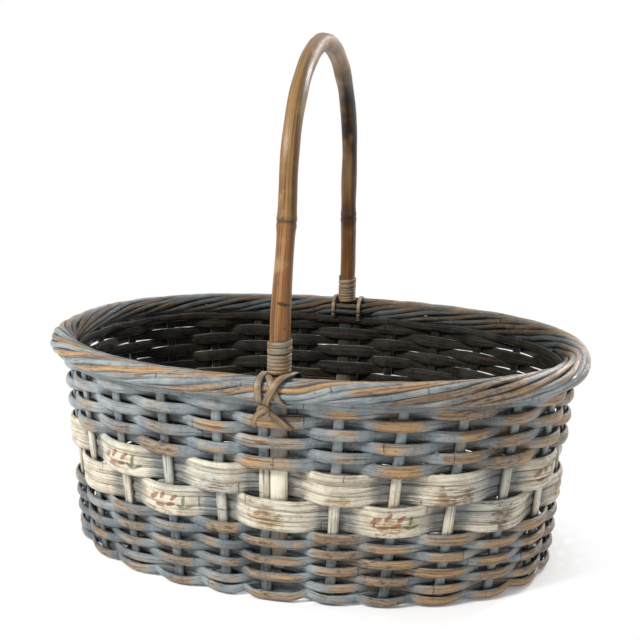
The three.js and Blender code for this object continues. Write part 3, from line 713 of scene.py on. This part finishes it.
def make_spoke(name, keys, seed):
    """A spoke's mesh, with paint worn a little on the outside and cream where it crosses the band."""
    path, (width, thick) = resample(keys[0], SPOKE_STEP, keys[1], keys[2])
    forward = unit(np.gradient(path, axis=0))
    width = unit(width - forward * np.sum(width * forward, axis=1, keepdims=True))
    out = np.cross(forward, width)
    out *= np.sign(np.sum(out * thick, axis=1, keepdims=True))
    place = np.linspace(0, STAKES, len(path))
    height = path[:, 2] + 1.3 * wobble(place, seed)
    cream = smooth(BAND_LOW - 1.5, BAND_LOW + 1.5, height) * smooth(BAND_HIGH + 1.5, BAND_HIGH - 1.5, height)
    worn = 0.28 + 0.16 * wobble(place, seed + 1, 6)
    # painted shade: inner darkens the inside faces, also stained cane, and deep darkens the stake's edges
    values = {"wear": lambda facing: worn[:, None] * smooth(-0.2, 0.6, facing)[None, :],
              "inner": lambda facing: smooth(0.1, -0.6, facing)[None, :],
              "deep": lambda facing: 0.25 * smooth(0.8, 0.0, np.abs(facing))[None, :],
              "cream": cream[:, None]}
    station = np.arange(len(path))
    in_mat = smooth(MAT_FROM, MAT_TO, np.minimum(station, station[::-1]) * SPOKE_STEP)
    wide = (STAKE_HALF_WIDE + MAT_SPREAD * in_mat) * (1 + 0.03 * wobble(place, seed + 2))
    data = cane_data(path, width, out, wide, STAKE_HALF_THICK, 16, False, values, power=3.4, start=seed * 31.0)
    return add_piece(name, data, painted, "grey_cane", name)


cross_pairs = [(i % STAKES, 13 - i) for i in range(-3, 4)]
for i, (start, end) in enumerate(cross_pairs):
    make_spoke(f"cross_spoke_{i + 1}", spoke_keys(start, end, []), 400 + 5 * i)
print("cross spokes", len(cross_pairs))

# %% [markdown]
# ## The base mat
# Lengthwise canes go over one cross spoke and under the next. Some of them are the long spokes, which go
# on up the wall, and the rest are loose slats that stop at the edge of the mat.

# %% Long spokes and slats
SLAT_HALF_WIDE = 5.3


def crossings(y):
    """Where the cross spokes lie at a distance across the base."""
    ends = [(wall_point(angle_at(stake_place(a)), 6.75), wall_point(angle_at(stake_place(b)), 6.75))
            for a, b in cross_pairs]
    return np.array([a[0] + (y - a[1]) / (b[1] - a[1]) * (b[0] - a[0]) for a, b in ends])


def over_under(order, y, thick):
    """Crossing points of a lengthwise cane, alternately above and below the cross spokes."""
    x = crossings(y)
    lift = STAKE_HALF_THICK + 0.2 + thick
    level = np.where((order + np.arange(len(x))) % 2 == 0, lift, -lift)
    return np.stack([x, np.full(len(x), y), MAT_Z + level], axis=1)


def make_slat(name, order, y, seed):
    """A loose slat: crossings inside the mat's oval, with tails that settle to the mat's height."""
    half_x = RIM_X - wall_inset(6.75, END_TAPER) - 15
    half_y = RIM_Y - wall_inset(6.75, SIDE_TAPER) - 15
    edge = half_x * (1 - abs(y / half_y) ** OVAL_POWER) ** (1 / OVAL_POWER)
    points = over_under(order, y, 1.6)
    near = np.abs(points[:, 0]) < edge - 8.5
    reach = min([edge, *(np.abs(points[~near, 0]) - 4.6)])
    points = points[near]
    tails = [[side * reach, y, MAT_Z + (p[2] - MAT_Z) * max(0, 1 - abs(side * reach - p[0]) / 20)]
             for side, p in ((-1, points[0]), (1, points[-1]))]
    path, _ = resample([tails[0], *points, tails[1]], SPOKE_STEP)
    forward = unit(np.gradient(path, axis=0))
    across = np.tile([0.0, 1.0, 0.0], (len(path), 1))
    up = np.cross(forward, across)
    place = np.linspace(0, STAKES, len(path))
    # painted shade: deep darkens the whole slat a little under the basket, and the upper face takes the stained,
    # shaded inside
    values = {"wear": (0.2 + 0.14 * wobble(place, seed))[:, None],
              "inner": lambda facing: 0.8 * smooth(0.1, 0.6, facing)[None, :],
              "deep": 0.2}
    wide = SLAT_HALF_WIDE * (1 + 0.03 * wobble(place, seed + 1))
    return add_piece(name, cane_data(path, across, up, wide, 1.6, 10, False, values), painted, "grey_cane", name)


def mat_canes():
    """Every lengthwise cane in order across the base: its y and, for a long spoke, its two stakes."""
    pairs = [(i, STAKES - i) for i in range(4, 10)]
    spoke_y = np.array([wall_point(angle_at(a), 6.75)[1] for a, _ in pairs])
    canes = []
    for i, y in enumerate(spoke_y):
        canes.append((y, pairs[i]))
        if i + 1 < len(spoke_y):
            canes += [(y + (spoke_y[i + 1] - y) * k / 3, None) for k in (1, 2)]
    half_y = RIM_Y - wall_inset(6.75, SIDE_TAPER) - 15
    pitch = (half_y - spoke_y[-1]) / 2.5
    for k in (1, 2):
        canes.insert(0, (spoke_y[0] - k * pitch, None))
        canes.append((spoke_y[-1] + k * pitch, None))
    return canes


long_count = slat_count = 0
for order, (y, pair) in enumerate(mat_canes()):
    if pair:
        long_count += 1
        middle = list(over_under(order, y, STAKE_HALF_THICK)[::-1])
        make_spoke(f"long_spoke_{long_count}", spoke_keys(*pair, middle), 500 + 5 * order)
    else:
        slat_count += 1
        make_slat(f"base_slat_{slat_count}", order, y, 600 + 5 * order)
print("long spokes", long_count, "slats", slat_count)

# %% [markdown]
# ## The rolled border
# The ends of the stakes are laid down along the rim and rolled together like a rope. Each rod of the
# solid is a pair of canes here, side by side. Where a leg of the handle comes through, the rods stop
# turning: the inmost pair passes inside the leg and the others outside. Two more canes lie along the stakes
# under the rope, one on each side, and close the gap above the last row.

# %% Border
RODS, TURNS = 5, 4
BORDER_CIRCLE, CANE_HALF_WIDE, CANE_HALF_THICK = 7.9, 2.55, 2.5
ROD_SPREAD, ROD_IN, ROD_OUT = 40.0, 6.0, 2.2
# the border is lower and thinner from the front to the left
THIN_MIDDLE, THIN_REACH, THIN_SHARE, SAG = -1.5, 5.0, 0.24, 1.9
CANE_WEAR = [0.62, 0.1, 0.42, -0.12, 0.5, 0.02, 0.66, 0.24, -0.1, 0.36]  # one value for each cane of the rope
rim_angles, rim_lengths = angle_table(lambda a: oval(a, RIM_X, RIM_Y))
RIM_LENGTH = rim_lengths[-1]


def rim_frame(length):
    """Point of the border's centre line and outward direction at lengths from the middle of the front."""
    angle = np.interp(length % RIM_LENGTH, rim_lengths, rim_angles)
    ahead, behind = oval(angle + 1e-3, RIM_X, RIM_Y), oval(angle - 1e-3, RIM_X, RIM_Y)
    along = unit(ahead - behind)
    point = np.concatenate([oval(angle, RIM_X, RIM_Y), np.full((len(angle), 1), RIM_Z)], axis=1)
    return point, np.stack([along[:, 1], -along[:, 0], np.zeros(len(angle))], axis=1)


def part_at(length):
    """Signed distance from the nearer leg and how strongly the rods part there."""
    half = RIM_LENGTH / 2
    signed = (length - LEG_SIDE + half / 2) % half - half / 2
    return signed, np.cos(np.pi / 2 * np.minimum(np.abs(signed) / ROD_SPREAD, 1)) ** 2


def border_thin(place):
    """How much thinner and lower the border is at places round it, from 0 to 1."""
    away = (place - THIN_MIDDLE + STAKES / 2) % STAKES - STAKES / 2
    return np.exp(-((away / THIN_REACH) ** 2))


def border_cane(rod, member, count=560):
    """One cane of a pair: a helix round the border's centre line that parts round the legs."""
    length = RIM_LENGTH * (0.7 + np.arange(count) / count)
    signed, part = part_at(length)
    turned = (length - LEG_SIDE - signed * part) / RIM_LENGTH
    lean = (member - 0.5) * 2 * np.pi / (2 * RODS)
    place = length / RIM_LENGTH * STAKES
    seed = 700 + 20 * rod + 5 * member
    phase = np.pi + 2 * np.pi * (rod / RODS + TURNS * turned) + lean + 0.09 * wobble(place, seed)
    circle = BORDER_CIRCLE + 0.35 * wobble(place, seed + 1)
    thin = border_thin(place)
    tall = circle * (1 - THIN_SHARE * thin)
    moved = np.where(rod == 0, -ROD_IN, ROD_OUT) * part
    point, out = rim_frame(length)
    radial, rise = np.cos(phase), np.sin(phase)
    centre = point + out * (circle * radial + moved)[:, None] + UP * (tall * rise - SAG * thin)[:, None]
    away = unit(out * radial[:, None] + UP * rise[:, None])
    forward = unit(np.roll(centre, -1, axis=0) - np.roll(centre, 1, axis=0))
    across = unit(np.cross(away, forward))
    worn = 0.12 + CANE_WEAR[2 * rod + member] + 0.22 * smooth(-0.6, 0.9, rise) + 0.28 * wobble(place, seed + 2, 3)
    worn += 0.16 * border_thin(place + 3) + 0.16 * np.sin(2 * np.pi * place / STAKES)
    values = {"wear": lambda facing: worn[:, None] * smooth(-0.2, 0.6, facing)[None, :],
              # inner darkens the rope's inner half, stained cane and painted shade; deep is painted shade on each
              # cane's sides
              "inner": 0.7 * smooth(0.25, -0.7, radial)[:, None],
              "deep": lambda facing: smooth(0.72, 0.1, facing)[None, :]}
    wide = CANE_HALF_WIDE * (1 + 0.07 * wobble(place, seed + 3))
    return cane_data(centre, across, away, wide, CANE_HALF_THICK, 12, True, values, start=seed * 17.0)


def under_cane(side, height, seed):
    """A cane that lies along the stakes just under the rope, outside for side 1 and inside for side -1."""
    place = 19.5 + np.arange(STAKES * 8) / 8
    level = height + 0.5 * wobble(place, seed)
    point, along, up, out = wall_frame(angle_at(place), level)
    at_leg = part_at(place / STAKES * WALL_LENGTH)[1]
    centre = point + out * (side * (3.9 + 1.2 * at_leg))[:, None]
    worn = 0.12 + 0.22 * wobble(place, seed + 1)
    # painted shade: deep darkens these canes all along, as they lie under the rope
    values = {"wear": lambda facing: worn[:, None] * smooth(-0.3, 0.6, side * facing)[None, :],
              "inner": lambda facing: smooth(0.15, -0.5, facing)[None, :],
              "deep": 0.3}
    return cane_data(centre, up, out, 3.5, 1.7, 12, True, values, start=seed * 11.0)


for rod in range(RODS):
    canes = [border_cane(rod, 0), border_cane(rod, 1)]
    if rod == 0:
        canes += [under_cane(1, 162.6, 811), under_cane(-1, 163.0, 815)]
    add_piece(f"border_pair_{rod + 1}", join_canes(canes), painted, "worn_cane", f"border_rod_{rod + 1}")
print("border pairs", RODS)

# %% [markdown]
# ## The handle
# The handle is a pole of natural cane with the rings that the plant has at its joints. It is swept along
# the hoop with a radius that swells at each ring. Its legs are shaved flat where they go down through the
# border into the weave. Dark scorch marks are stored along it for the material, which also draws a scar.

# %% Handle
HANDLE_RADIUS, HANDLE_TOP = 7.2, 415.0
NEAR_THINNER = 0.8  # the pole tapers: its radius is smaller at the front by this much
ARC_HALF, ARC_HIGH = 142.0, 105.0
LEG_FOOT, SHOULDER_FOOT, SHOULDER_Z, BINDING_Z = 28.0, 184.8, 187.8, 208.8
LEG_Y = RIM_Y - wall_inset(STAKE_TOP, SIDE_TAPER)
ARC_FOOT = HANDLE_TOP - ARC_HIGH


def half_hoop():
    """Heights and reaches of one half of the hoop, from the leg's lower end to the middle of the arc."""
    low = np.array([LEG_FOOT, 54, 82, 110, 140, STAKE_TOP, SHOULDER_FOOT, SHOULDER_Z, 198, BINDING_Z])
    reach = np.where(low < STAKE_TOP, RIM_Y - wall_inset(low, SIDE_TAPER), LEG_Y)
    t = np.linspace(0, 1, 8)[1:]
    lean = np.stack([BINDING_Z + (ARC_FOOT - BINDING_Z) * t, LEG_Y + (ARC_HALF - LEG_Y) * smooth(0, 1, t)])
    arc = np.radians(np.linspace(0, 90, 16)[1:])
    bow = np.stack([ARC_FOOT + ARC_HIGH * np.sin(arc), ARC_HALF * np.cos(arc)])
    return np.concatenate([np.stack([low, reach]), lean, bow], axis=1)


def handle_path():
    """Both halves as one smooth path; the back half is the front one turned half round the middle."""
    height, reach = half_hoop()
    y = np.concatenate([-reach, reach[-2::-1]])
    z = np.concatenate([height, height[-2::-1]])
    path, _ = resample(np.stack([-LEG_SIDE * y / LEG_Y, y, z], axis=1), 2.0)
    return path


def ring_swell(path, spots):
    """Radius added at the joints of the cane: a low swelling with a narrow groove in its middle."""
    length = path_length(path)
    total = np.zeros(len(path))
    groove = np.zeros(len(path))
    for y_sign, z in spots:
        near = np.argmin(np.abs(path[:, 2] - z) + np.where(np.sign(path[:, 1]) == y_sign, 0, 1e3))
        d = length - length[near]
        total += 0.75 * np.exp(-((d / 5) ** 2)) - 0.65 * np.exp(-((d / 1.3) ** 2))
        groove += np.exp(-((d / 1.6) ** 2))
    return total, groove


def make_handle():
    """The pole: round above the border, a flat oval tongue below its shoulder."""
    path = handle_path()
    forward = unit(np.gradient(path, axis=0))
    across = np.tile([1.0, 0.0, 0.0], (len(path), 1))
    across = unit(across - forward * np.sum(across * forward, axis=1, keepdims=True))
    inward = np.cross(forward, across)
    z = path[:, 2]
    swell, groove = ring_swell(path, [(-1, 286), (1, 266), (-1, 413)])
    place = np.linspace(0, STAKES, len(path))
    round_share = smooth(SHOULDER_FOOT, SHOULDER_Z, z)
    thinner = NEAR_THINNER * smooth(160, -130, path[:, 1]) * smooth(BINDING_Z, 270, z)
    radius = HANDLE_RADIUS - thinner + swell + 0.18 * wobble(place, 901)
    tip = smooth(LEG_FOOT - 6, 54, z)
    wide = (4.5 + 2.0 * tip) * (1 - round_share) + radius * round_share
    thick = (1.7 + 1.3 * tip) * (1 - round_share) + radius * round_share
    scorch = smooth(296, 332, z) * smooth(407, 392, z) * (path[:, 1] > 0)
    scorch = np.maximum(scorch, 0.7 * smooth(252, 266, z) * smooth(290, 274, z) * (path[:, 1] > 0))
    cream = smooth(BAND_LOW - 1.5, BAND_LOW + 1.5, z) * smooth(BAND_HIGH + 1.5, BAND_HIGH - 1.5, z)
    values = {"wear": groove[:, None], "deep": scorch[:, None], "inner": (1 - round_share)[:, None],
              "cream": cream[:, None],
              "shade": lambda facing: (1 - round_share)[:, None] * smooth(-0.1, 0.5, facing)[None, :]}
    data = cane_data(path, across, inward, wide, thick, 20, False, values)
    piece = add_piece("handle_pole", data, handle_cane(), "handle_cane", "handle_hoop")
    print("handle", len(path), "stations")
    return piece


def scar(m, place):
    """1 in a small ragged dent on the front of the near leg."""
    node = m.add("ShaderNodeMapping", vector_type="TEXTURE")
    m.put(node.inputs["Vector"], place)
    node.inputs["Location"].default_value = (0.0045, -LEG_Y * MM, 0.232)
    node.inputs["Rotation"].default_value = (0, math.radians(12), 0)
    node.inputs["Scale"].default_value = (0.0046, 0.02, 0.0016)
    size = m.add("ShaderNodeVectorMath", operation="LENGTH")
    m.put(size.inputs[0], node.outputs[0])
    ragged = m.math("ADD", size.outputs["Value"], m.noise(place, 420, 2))
    return m.ramp(ragged, 1.1, 1.5, 0.9, 0.0)


def handle_cane():
    """Honey-brown cane with a hard shiny skin, long streaks, dark joints and scorched patches."""
    m = Nodes("handle_cane")
    uv = m.add("ShaderNodeUVMap", uv_map="cane").outputs[0]
    place = m.add("ShaderNodeTexCoord").outputs["Object"]
    grain = m.noise(m.scaled(uv, (12, 700, 1)), 1.0, 5, 0.6)
    long_streak = m.noise(m.scaled(uv, (5, 160, 1), (2, 5, 0)), 1.0, 3, 0.5)
    mottle = m.noise(place, 42, 4, 0.6)
    parts = m.add("ShaderNodeSeparateXYZ")
    m.put(parts.inputs[0], place)
    above = m.ramp(parts.outputs[2], 0.284, 0.288)
    skin = m.mix(above, linear(142, 97, 52), linear(136, 101, 54))
    dull = m.mix(above, linear(100, 64, 33), linear(92, 66, 34))
    colour = m.mix(m.ramp(long_streak, 0.4, 0.64), skin, dull)
    colour = m.mix(m.ramp(grain, 0.46, 0.62, 0.0, 0.75), colour, linear(66, 47, 28))
    colour = m.mix(m.ramp(mottle, 0.52, 0.7, 0.0, 0.5), colour, linear(158, 128, 84))
    colour = m.mix(scar(m, place), colour, linear(44, 28, 20))
    speck = m.noise(m.scaled(uv, (140, 420, 1), (9, 1, 0)), 1.0, 2, 0.5)
    colour = m.mix(m.ramp(speck, 0.66, 0.72, 0.0, 0.8), colour, linear(58, 36, 22))
    burn = m.math("MULTIPLY", m.attribute("deep"), m.ramp(m.math("ADD", mottle, long_streak), 0.75, 1.1))
    colour = m.mix(burn, colour, linear(36, 27, 24))
    colour = m.mix(m.math("MULTIPLY", m.attribute("wear"), 0.85), colour, linear(50, 31, 20))
    paint = m.mix(m.attribute("cream"), m.mix(m.ramp(mottle, 0.4, 0.6), SLATE, WEATHERED),
                  m.mix(m.ramp(mottle, 0.4, 0.6), CREAM, CREAM_BRIGHT))
    paint = m.mix(m.ramp(grain, 0.55, 0.7, 0.0, 0.7), paint, GRIME_AND_SHADE)
    painted_share = m.math("MULTIPLY", m.attribute("inner"), m.ramp(long_streak, 0.62, 0.7, 1.0, 0.3))
    colour = m.mix(painted_share, colour, paint)
    colour = m.mix(m.math("MULTIPLY", m.attribute("shade"), 0.85), colour, INSIDE)
    m.put(m.shader.inputs["Base Color"], colour)
    m.put(m.shader.inputs["Roughness"], m.ramp(mottle, 0.3, 0.75, 0.34, 0.54))
    m.put(m.shader.inputs["Specular IOR Level"], m.ramp(m.attribute("shade"), 0.0, 1.0, 0.34, 0.06))
    m.bump(m.math("ADD", grain, m.math("MULTIPLY", mottle, 0.6)), 0.6, 0.0007)
    return m.material


make_handle()

# %% [markdown]
# ## Bindings and lashings
# Split cane is wound round each leg just above the border, and a strip goes over and under the border in
# an X that ties the leg down, with a knot below it. All are ribbons with a rounded back. A winding is a
# helix. The lashing's strips follow a rounded box round the border, and each crossing is lifted over the last.

# %% Windings round the legs
SPLIT_THICK = 0.75
HALF_TURN = np.array([-1.0, -1.0, 1.0])


def split_cane():
    """Split cane: tan and grey fibres along the strip, rubbed pale on the back."""
    m = Nodes("split_cane")
    uv = m.add("ShaderNodeUVMap", uv_map="cane").outputs[0]
    place = m.add("ShaderNodeTexCoord").outputs["Object"]
    grain = m.noise(m.scaled(uv, (45, 1400, 1)), 1.0, 4, 0.7)
    patch = m.noise(place, 120, 3, 0.6)
    colour = m.mix(m.ramp(grain, 0.4, 0.6), linear(150, 121, 84), linear(88, 68, 48))
    colour = m.mix(m.ramp(patch, 0.46, 0.62, 0.0, 0.6), colour, linear(122, 118, 110))
    # painted shade along the strip's edges and under it
    colour = m.mix(m.math("MULTIPLY", m.attribute("deep"), 0.75), colour, GRIME_AND_SHADE)
    m.put(m.shader.inputs["Base Color"], colour)
    m.put(m.shader.inputs["Roughness"], m.ramp(grain, 0.3, 0.7, 0.36, 0.55))
    m.bump(grain, 0.7, 0.0006)
    return m.material


split = split_cane()


def painted_edge_shade():
    """Painted shade along the edges of a strip and under it."""
    return {"deep": lambda facing: smooth(0.75, 0.25, facing)[None, :]}


def winding(radius, low, turns, pitch, half_wide, half_thick, centre_y):
    """Helix round a leg: radius and pitch in millimetres, with the ribbon's back facing away from the leg."""
    angle = np.linspace(0.6, 0.6 + 2 * np.pi * turns, int(turns * 36))
    out = np.stack([np.cos(angle), np.sin(angle), np.zeros(len(angle))], axis=1)
    lift = low + pitch * (angle - 0.6) / (2 * np.pi)
    middle = np.stack([np.full(len(angle), LEG_SIDE), np.full(len(angle), -centre_y), lift], axis=1)
    centre = middle + out * radius
    forward = unit(np.gradient(centre, axis=0))
    return cane_data(centre, np.cross(out, forward), out, half_wide, half_thick, 10, False, painted_edge_shade())


def turned(data):
    """The same arrays turned half round the basket's middle."""
    return {**data, "points": data["points"] * HALF_TURN}


binding = join_canes([winding(7.9, 182.6, 5, 2.7, 1.5, SPLIT_THICK, LEG_Y),
                      winding(8.0, 196.6, 2, 4.4, 2.3, 0.8, LEG_Y)])
add_piece("binding_front", binding, split, "binding_cane", "handle_binding_front")
add_piece("binding_back", turned(binding), split, "binding_cane", "handle_binding_back")
print("windings", len(binding["quads"]), "quads each")

# %% Lashings
LASH_OUT, LASH_TUCK = 14.5, 1.4  # half the loop's depth, and how far its middle lies inside the border's
FRONT_Z, FRONT_TALL = 172.3, 9.6  # middle and half height of the loop at the front, where the border is low
BACK_TALL = 11.3
LASH_WIDE, LASH_THICK = 2.7, 0.65
WALL_HUB = (0.0, -RIM_Y + 60, 160.0)


def loop_keys(stops, middle, tall, lift=0.0):
    """Points round the border through stops of side and turn: 0 degrees is outward, 90 on top."""
    side, turn = np.array(stops, float).T
    t = np.linspace(0, len(stops) - 1, 6 * len(stops))
    side = np.interp(t, np.arange(len(stops)), side)
    turn = np.radians(np.interp(t, np.arange(len(stops)), turn))
    ring = oval(turn, LASH_OUT + lift, tall + lift, 2.6)
    return np.stack([side, -(RIM_Y - LASH_TUCK + ring[:, 0]), middle + ring[:, 1]], axis=1)


def ribbon(keys, half_wide, half_thick, hub, spacing=1.0):
    """A strip along key points, its back facing away from a line along X through the hub."""
    path, _ = resample(keys, spacing)
    forward = unit(np.gradient(path, axis=0))
    away = path - np.array(hub)
    away[:, 0] = 0
    across = unit(np.cross(away, forward))
    return cane_data(path, across, np.cross(forward, across), half_wide, half_thick, 10, False, painted_edge_shade())


def knot_keys(middle, radius, turns):
    """A small flat coil on the outside of the border, rising a little with each turn."""
    angle = np.linspace(0.4, 0.4 + 2 * np.pi * turns, int(10 * turns))
    size = radius * (1 - 0.07 * angle / np.pi)
    coil = np.stack([size * np.cos(angle), -0.32 * angle, size * 1.15 * np.sin(angle)], axis=1)
    return np.array(middle) + coil


front_hub = (0.0, -RIM_Y, FRONT_Z)
front_strips = [
    ribbon(loop_keys([(-7, 165), (-5.4, 80), (8.5, -45), (11, -95), (12, -150)], FRONT_Z, FRONT_TALL),
           LASH_WIDE, LASH_THICK, front_hub),
    ribbon(loop_keys([(14, 165), (12, 85), (-2.5, -20), (-5, -80)], FRONT_Z, FRONT_TALL, 1.7),
           LASH_WIDE, LASH_THICK, front_hub),
    ribbon(loop_keys([(-9, 165), (-8, 85), (-9, 25), (-7.6, -25), (-4.6, -80)], FRONT_Z, FRONT_TALL, 0.6),
           LASH_WIDE, LASH_THICK, front_hub),
    ribbon([(-6, -169, 161), (-2, -169, 156.5), (4.5, -166.8, 150.5), (10, -165, 145.6), (12.6, -160, 143)],
           2.7, LASH_THICK, WALL_HUB),
    ribbon(knot_keys((-5.2, -172.2, 158), 3.5, 1.55), 1.9, 0.8, WALL_HUB, 0.6),
    ribbon([(-1.5, -171, 163.5), (-3.4, -175.6, 160), (-8.4, -175.8, 157), (-11.6, -173.6, 151),
            (-12.2, -171, 146)],
           2.0, 0.6, WALL_HUB),
]
add_piece("lashing_front", join_canes(front_strips), split, "binding_cane", "handle_lashing_front")
back_hub = (0.0, -RIM_Y, RIM_Z)
back_strips = [
    ribbon(loop_keys([(13.8, 190), (13.8, 10), (13.8, -165)], RIM_Z, BACK_TALL), 1.9, LASH_THICK, back_hub),
    ribbon(loop_keys([(-11.5, 190), (-11.5, 10), (-11.5, -165)], RIM_Z, BACK_TALL), 1.9, LASH_THICK, back_hub),
    ribbon(loop_keys([(14, 150), (12.5, 80), (-10, -60), (-11.5, -140)], RIM_Z, BACK_TALL, 1.2),
           1.9, LASH_THICK, back_hub),
]
add_piece("lashing_back", turned(join_canes(back_strips)), split, "binding_cane", "handle_lashing_back")
print("lashings", len(front_strips), "strips in front,", len(back_strips), "at the back")

# %% [markdown]
# ## Stage
# A pale floor and a soft studio: the sky gives most of the light, and a large lamp to the left of the camera
# models the canes. Seen directly, the sky is plain white, and the floor keeps the shadow.

# %% Floor, light and view settings
FLOOR_SIZE = 30.0


def stage_floor():
    """A large flat square: lit paper near the basket, plain white for the camera further out."""
    half = FLOOR_SIZE / 2
    mesh = bpy.data.meshes.new("floor")
    corners = [(-half, -half, 0), (half, -half, 0), (half, half, 0), (-half, half, 0)]
    mesh.from_pydata(corners, [], [(0, 1, 2, 3)])
    floor = bpy.data.objects.new("floor", mesh)
    bpy.context.collection.objects.link(floor)
    m = Nodes("floor_paper")
    m.shader.inputs["Base Color"].default_value = (0.93, 0.93, 0.93, 1)
    m.shader.inputs["Roughness"].default_value = 0.9
    place = m.scaled(m.add("ShaderNodeTexCoord").outputs["Object"], (1 / 0.23, 1 / 0.17, 0))
    far = m.add("ShaderNodeVectorMath", operation="LENGTH")
    m.put(far.inputs[0], place)
    seen = m.add("ShaderNodeLightPath").outputs["Is Camera Ray"]
    white = m.math("MULTIPLY", m.ramp(far.outputs["Value"], 0.8, 1.15, 0.0, 1.0), seen)
    glow = m.add("ShaderNodeEmission")
    blend = m.add("ShaderNodeMixShader")
    m.put(blend.inputs[0], white)
    m.put(blend.inputs[1], m.shader.outputs[0])
    m.put(blend.inputs[2], glow.outputs[0])
    m.put(m.tree.nodes["Material Output"].inputs["Surface"], blend.outputs[0])
    mesh.materials.append(m.material)


def stage_world(strength):
    """A white sky for camera, glossy and transmission rays, and a set strength for light."""
    world = bpy.data.worlds.new("studio")
    world.use_nodes = True
    tree = world.node_tree
    background = tree.nodes["Background"]
    background.inputs["Color"].default_value = (1, 1, 1, 1)
    rays = tree.nodes.new("ShaderNodeLightPath")
    seen = rays.outputs["Is Camera Ray"]
    for kind in ("Is Glossy Ray", "Is Transmission Ray"):
        most = tree.nodes.new("ShaderNodeMath")
        most.operation = "MAXIMUM"
        tree.links.new(seen, most.inputs[0])
        tree.links.new(rays.outputs[kind], most.inputs[1])
        seen = most.outputs[0]
    level = tree.nodes.new("ShaderNodeMapRange")
    level.inputs["To Min"].default_value = strength
    level.inputs["To Max"].default_value = 1.0
    tree.links.new(seen, level.inputs["Value"])
    tree.links.new(level.outputs[0], background.inputs["Strength"])
    bpy.context.scene.world = world


def stage_lamp(name, place, target, size, power):
    """A square area lamp that points at a target."""
    data = bpy.data.lights.new(name, "AREA")
    data.size = size
    data.energy = power
    lamp = bpy.data.objects.new(name, data)
    bpy.context.collection.objects.link(lamp)
    back = unit(np.array(place, float) - np.array(target, float))
    right = unit(np.cross([0, 0, 1], back))
    rows = np.column_stack([right, np.cross(back, right), back, place])
    lamp.matrix_world = Matrix([*rows.tolist(), [0, 0, 0, 1]])


stage_floor()
stage_world(0.4)
stage_lamp("key", (-1.2, -1.3, 1.5), (0, 0, 0.12), 0.4, 58)
stage_lamp("back", (1.1, 1.5, 1.4), (0, 0, 0.12), 0.6, 40)
bpy.context.scene.view_settings.view_transform = "Standard"
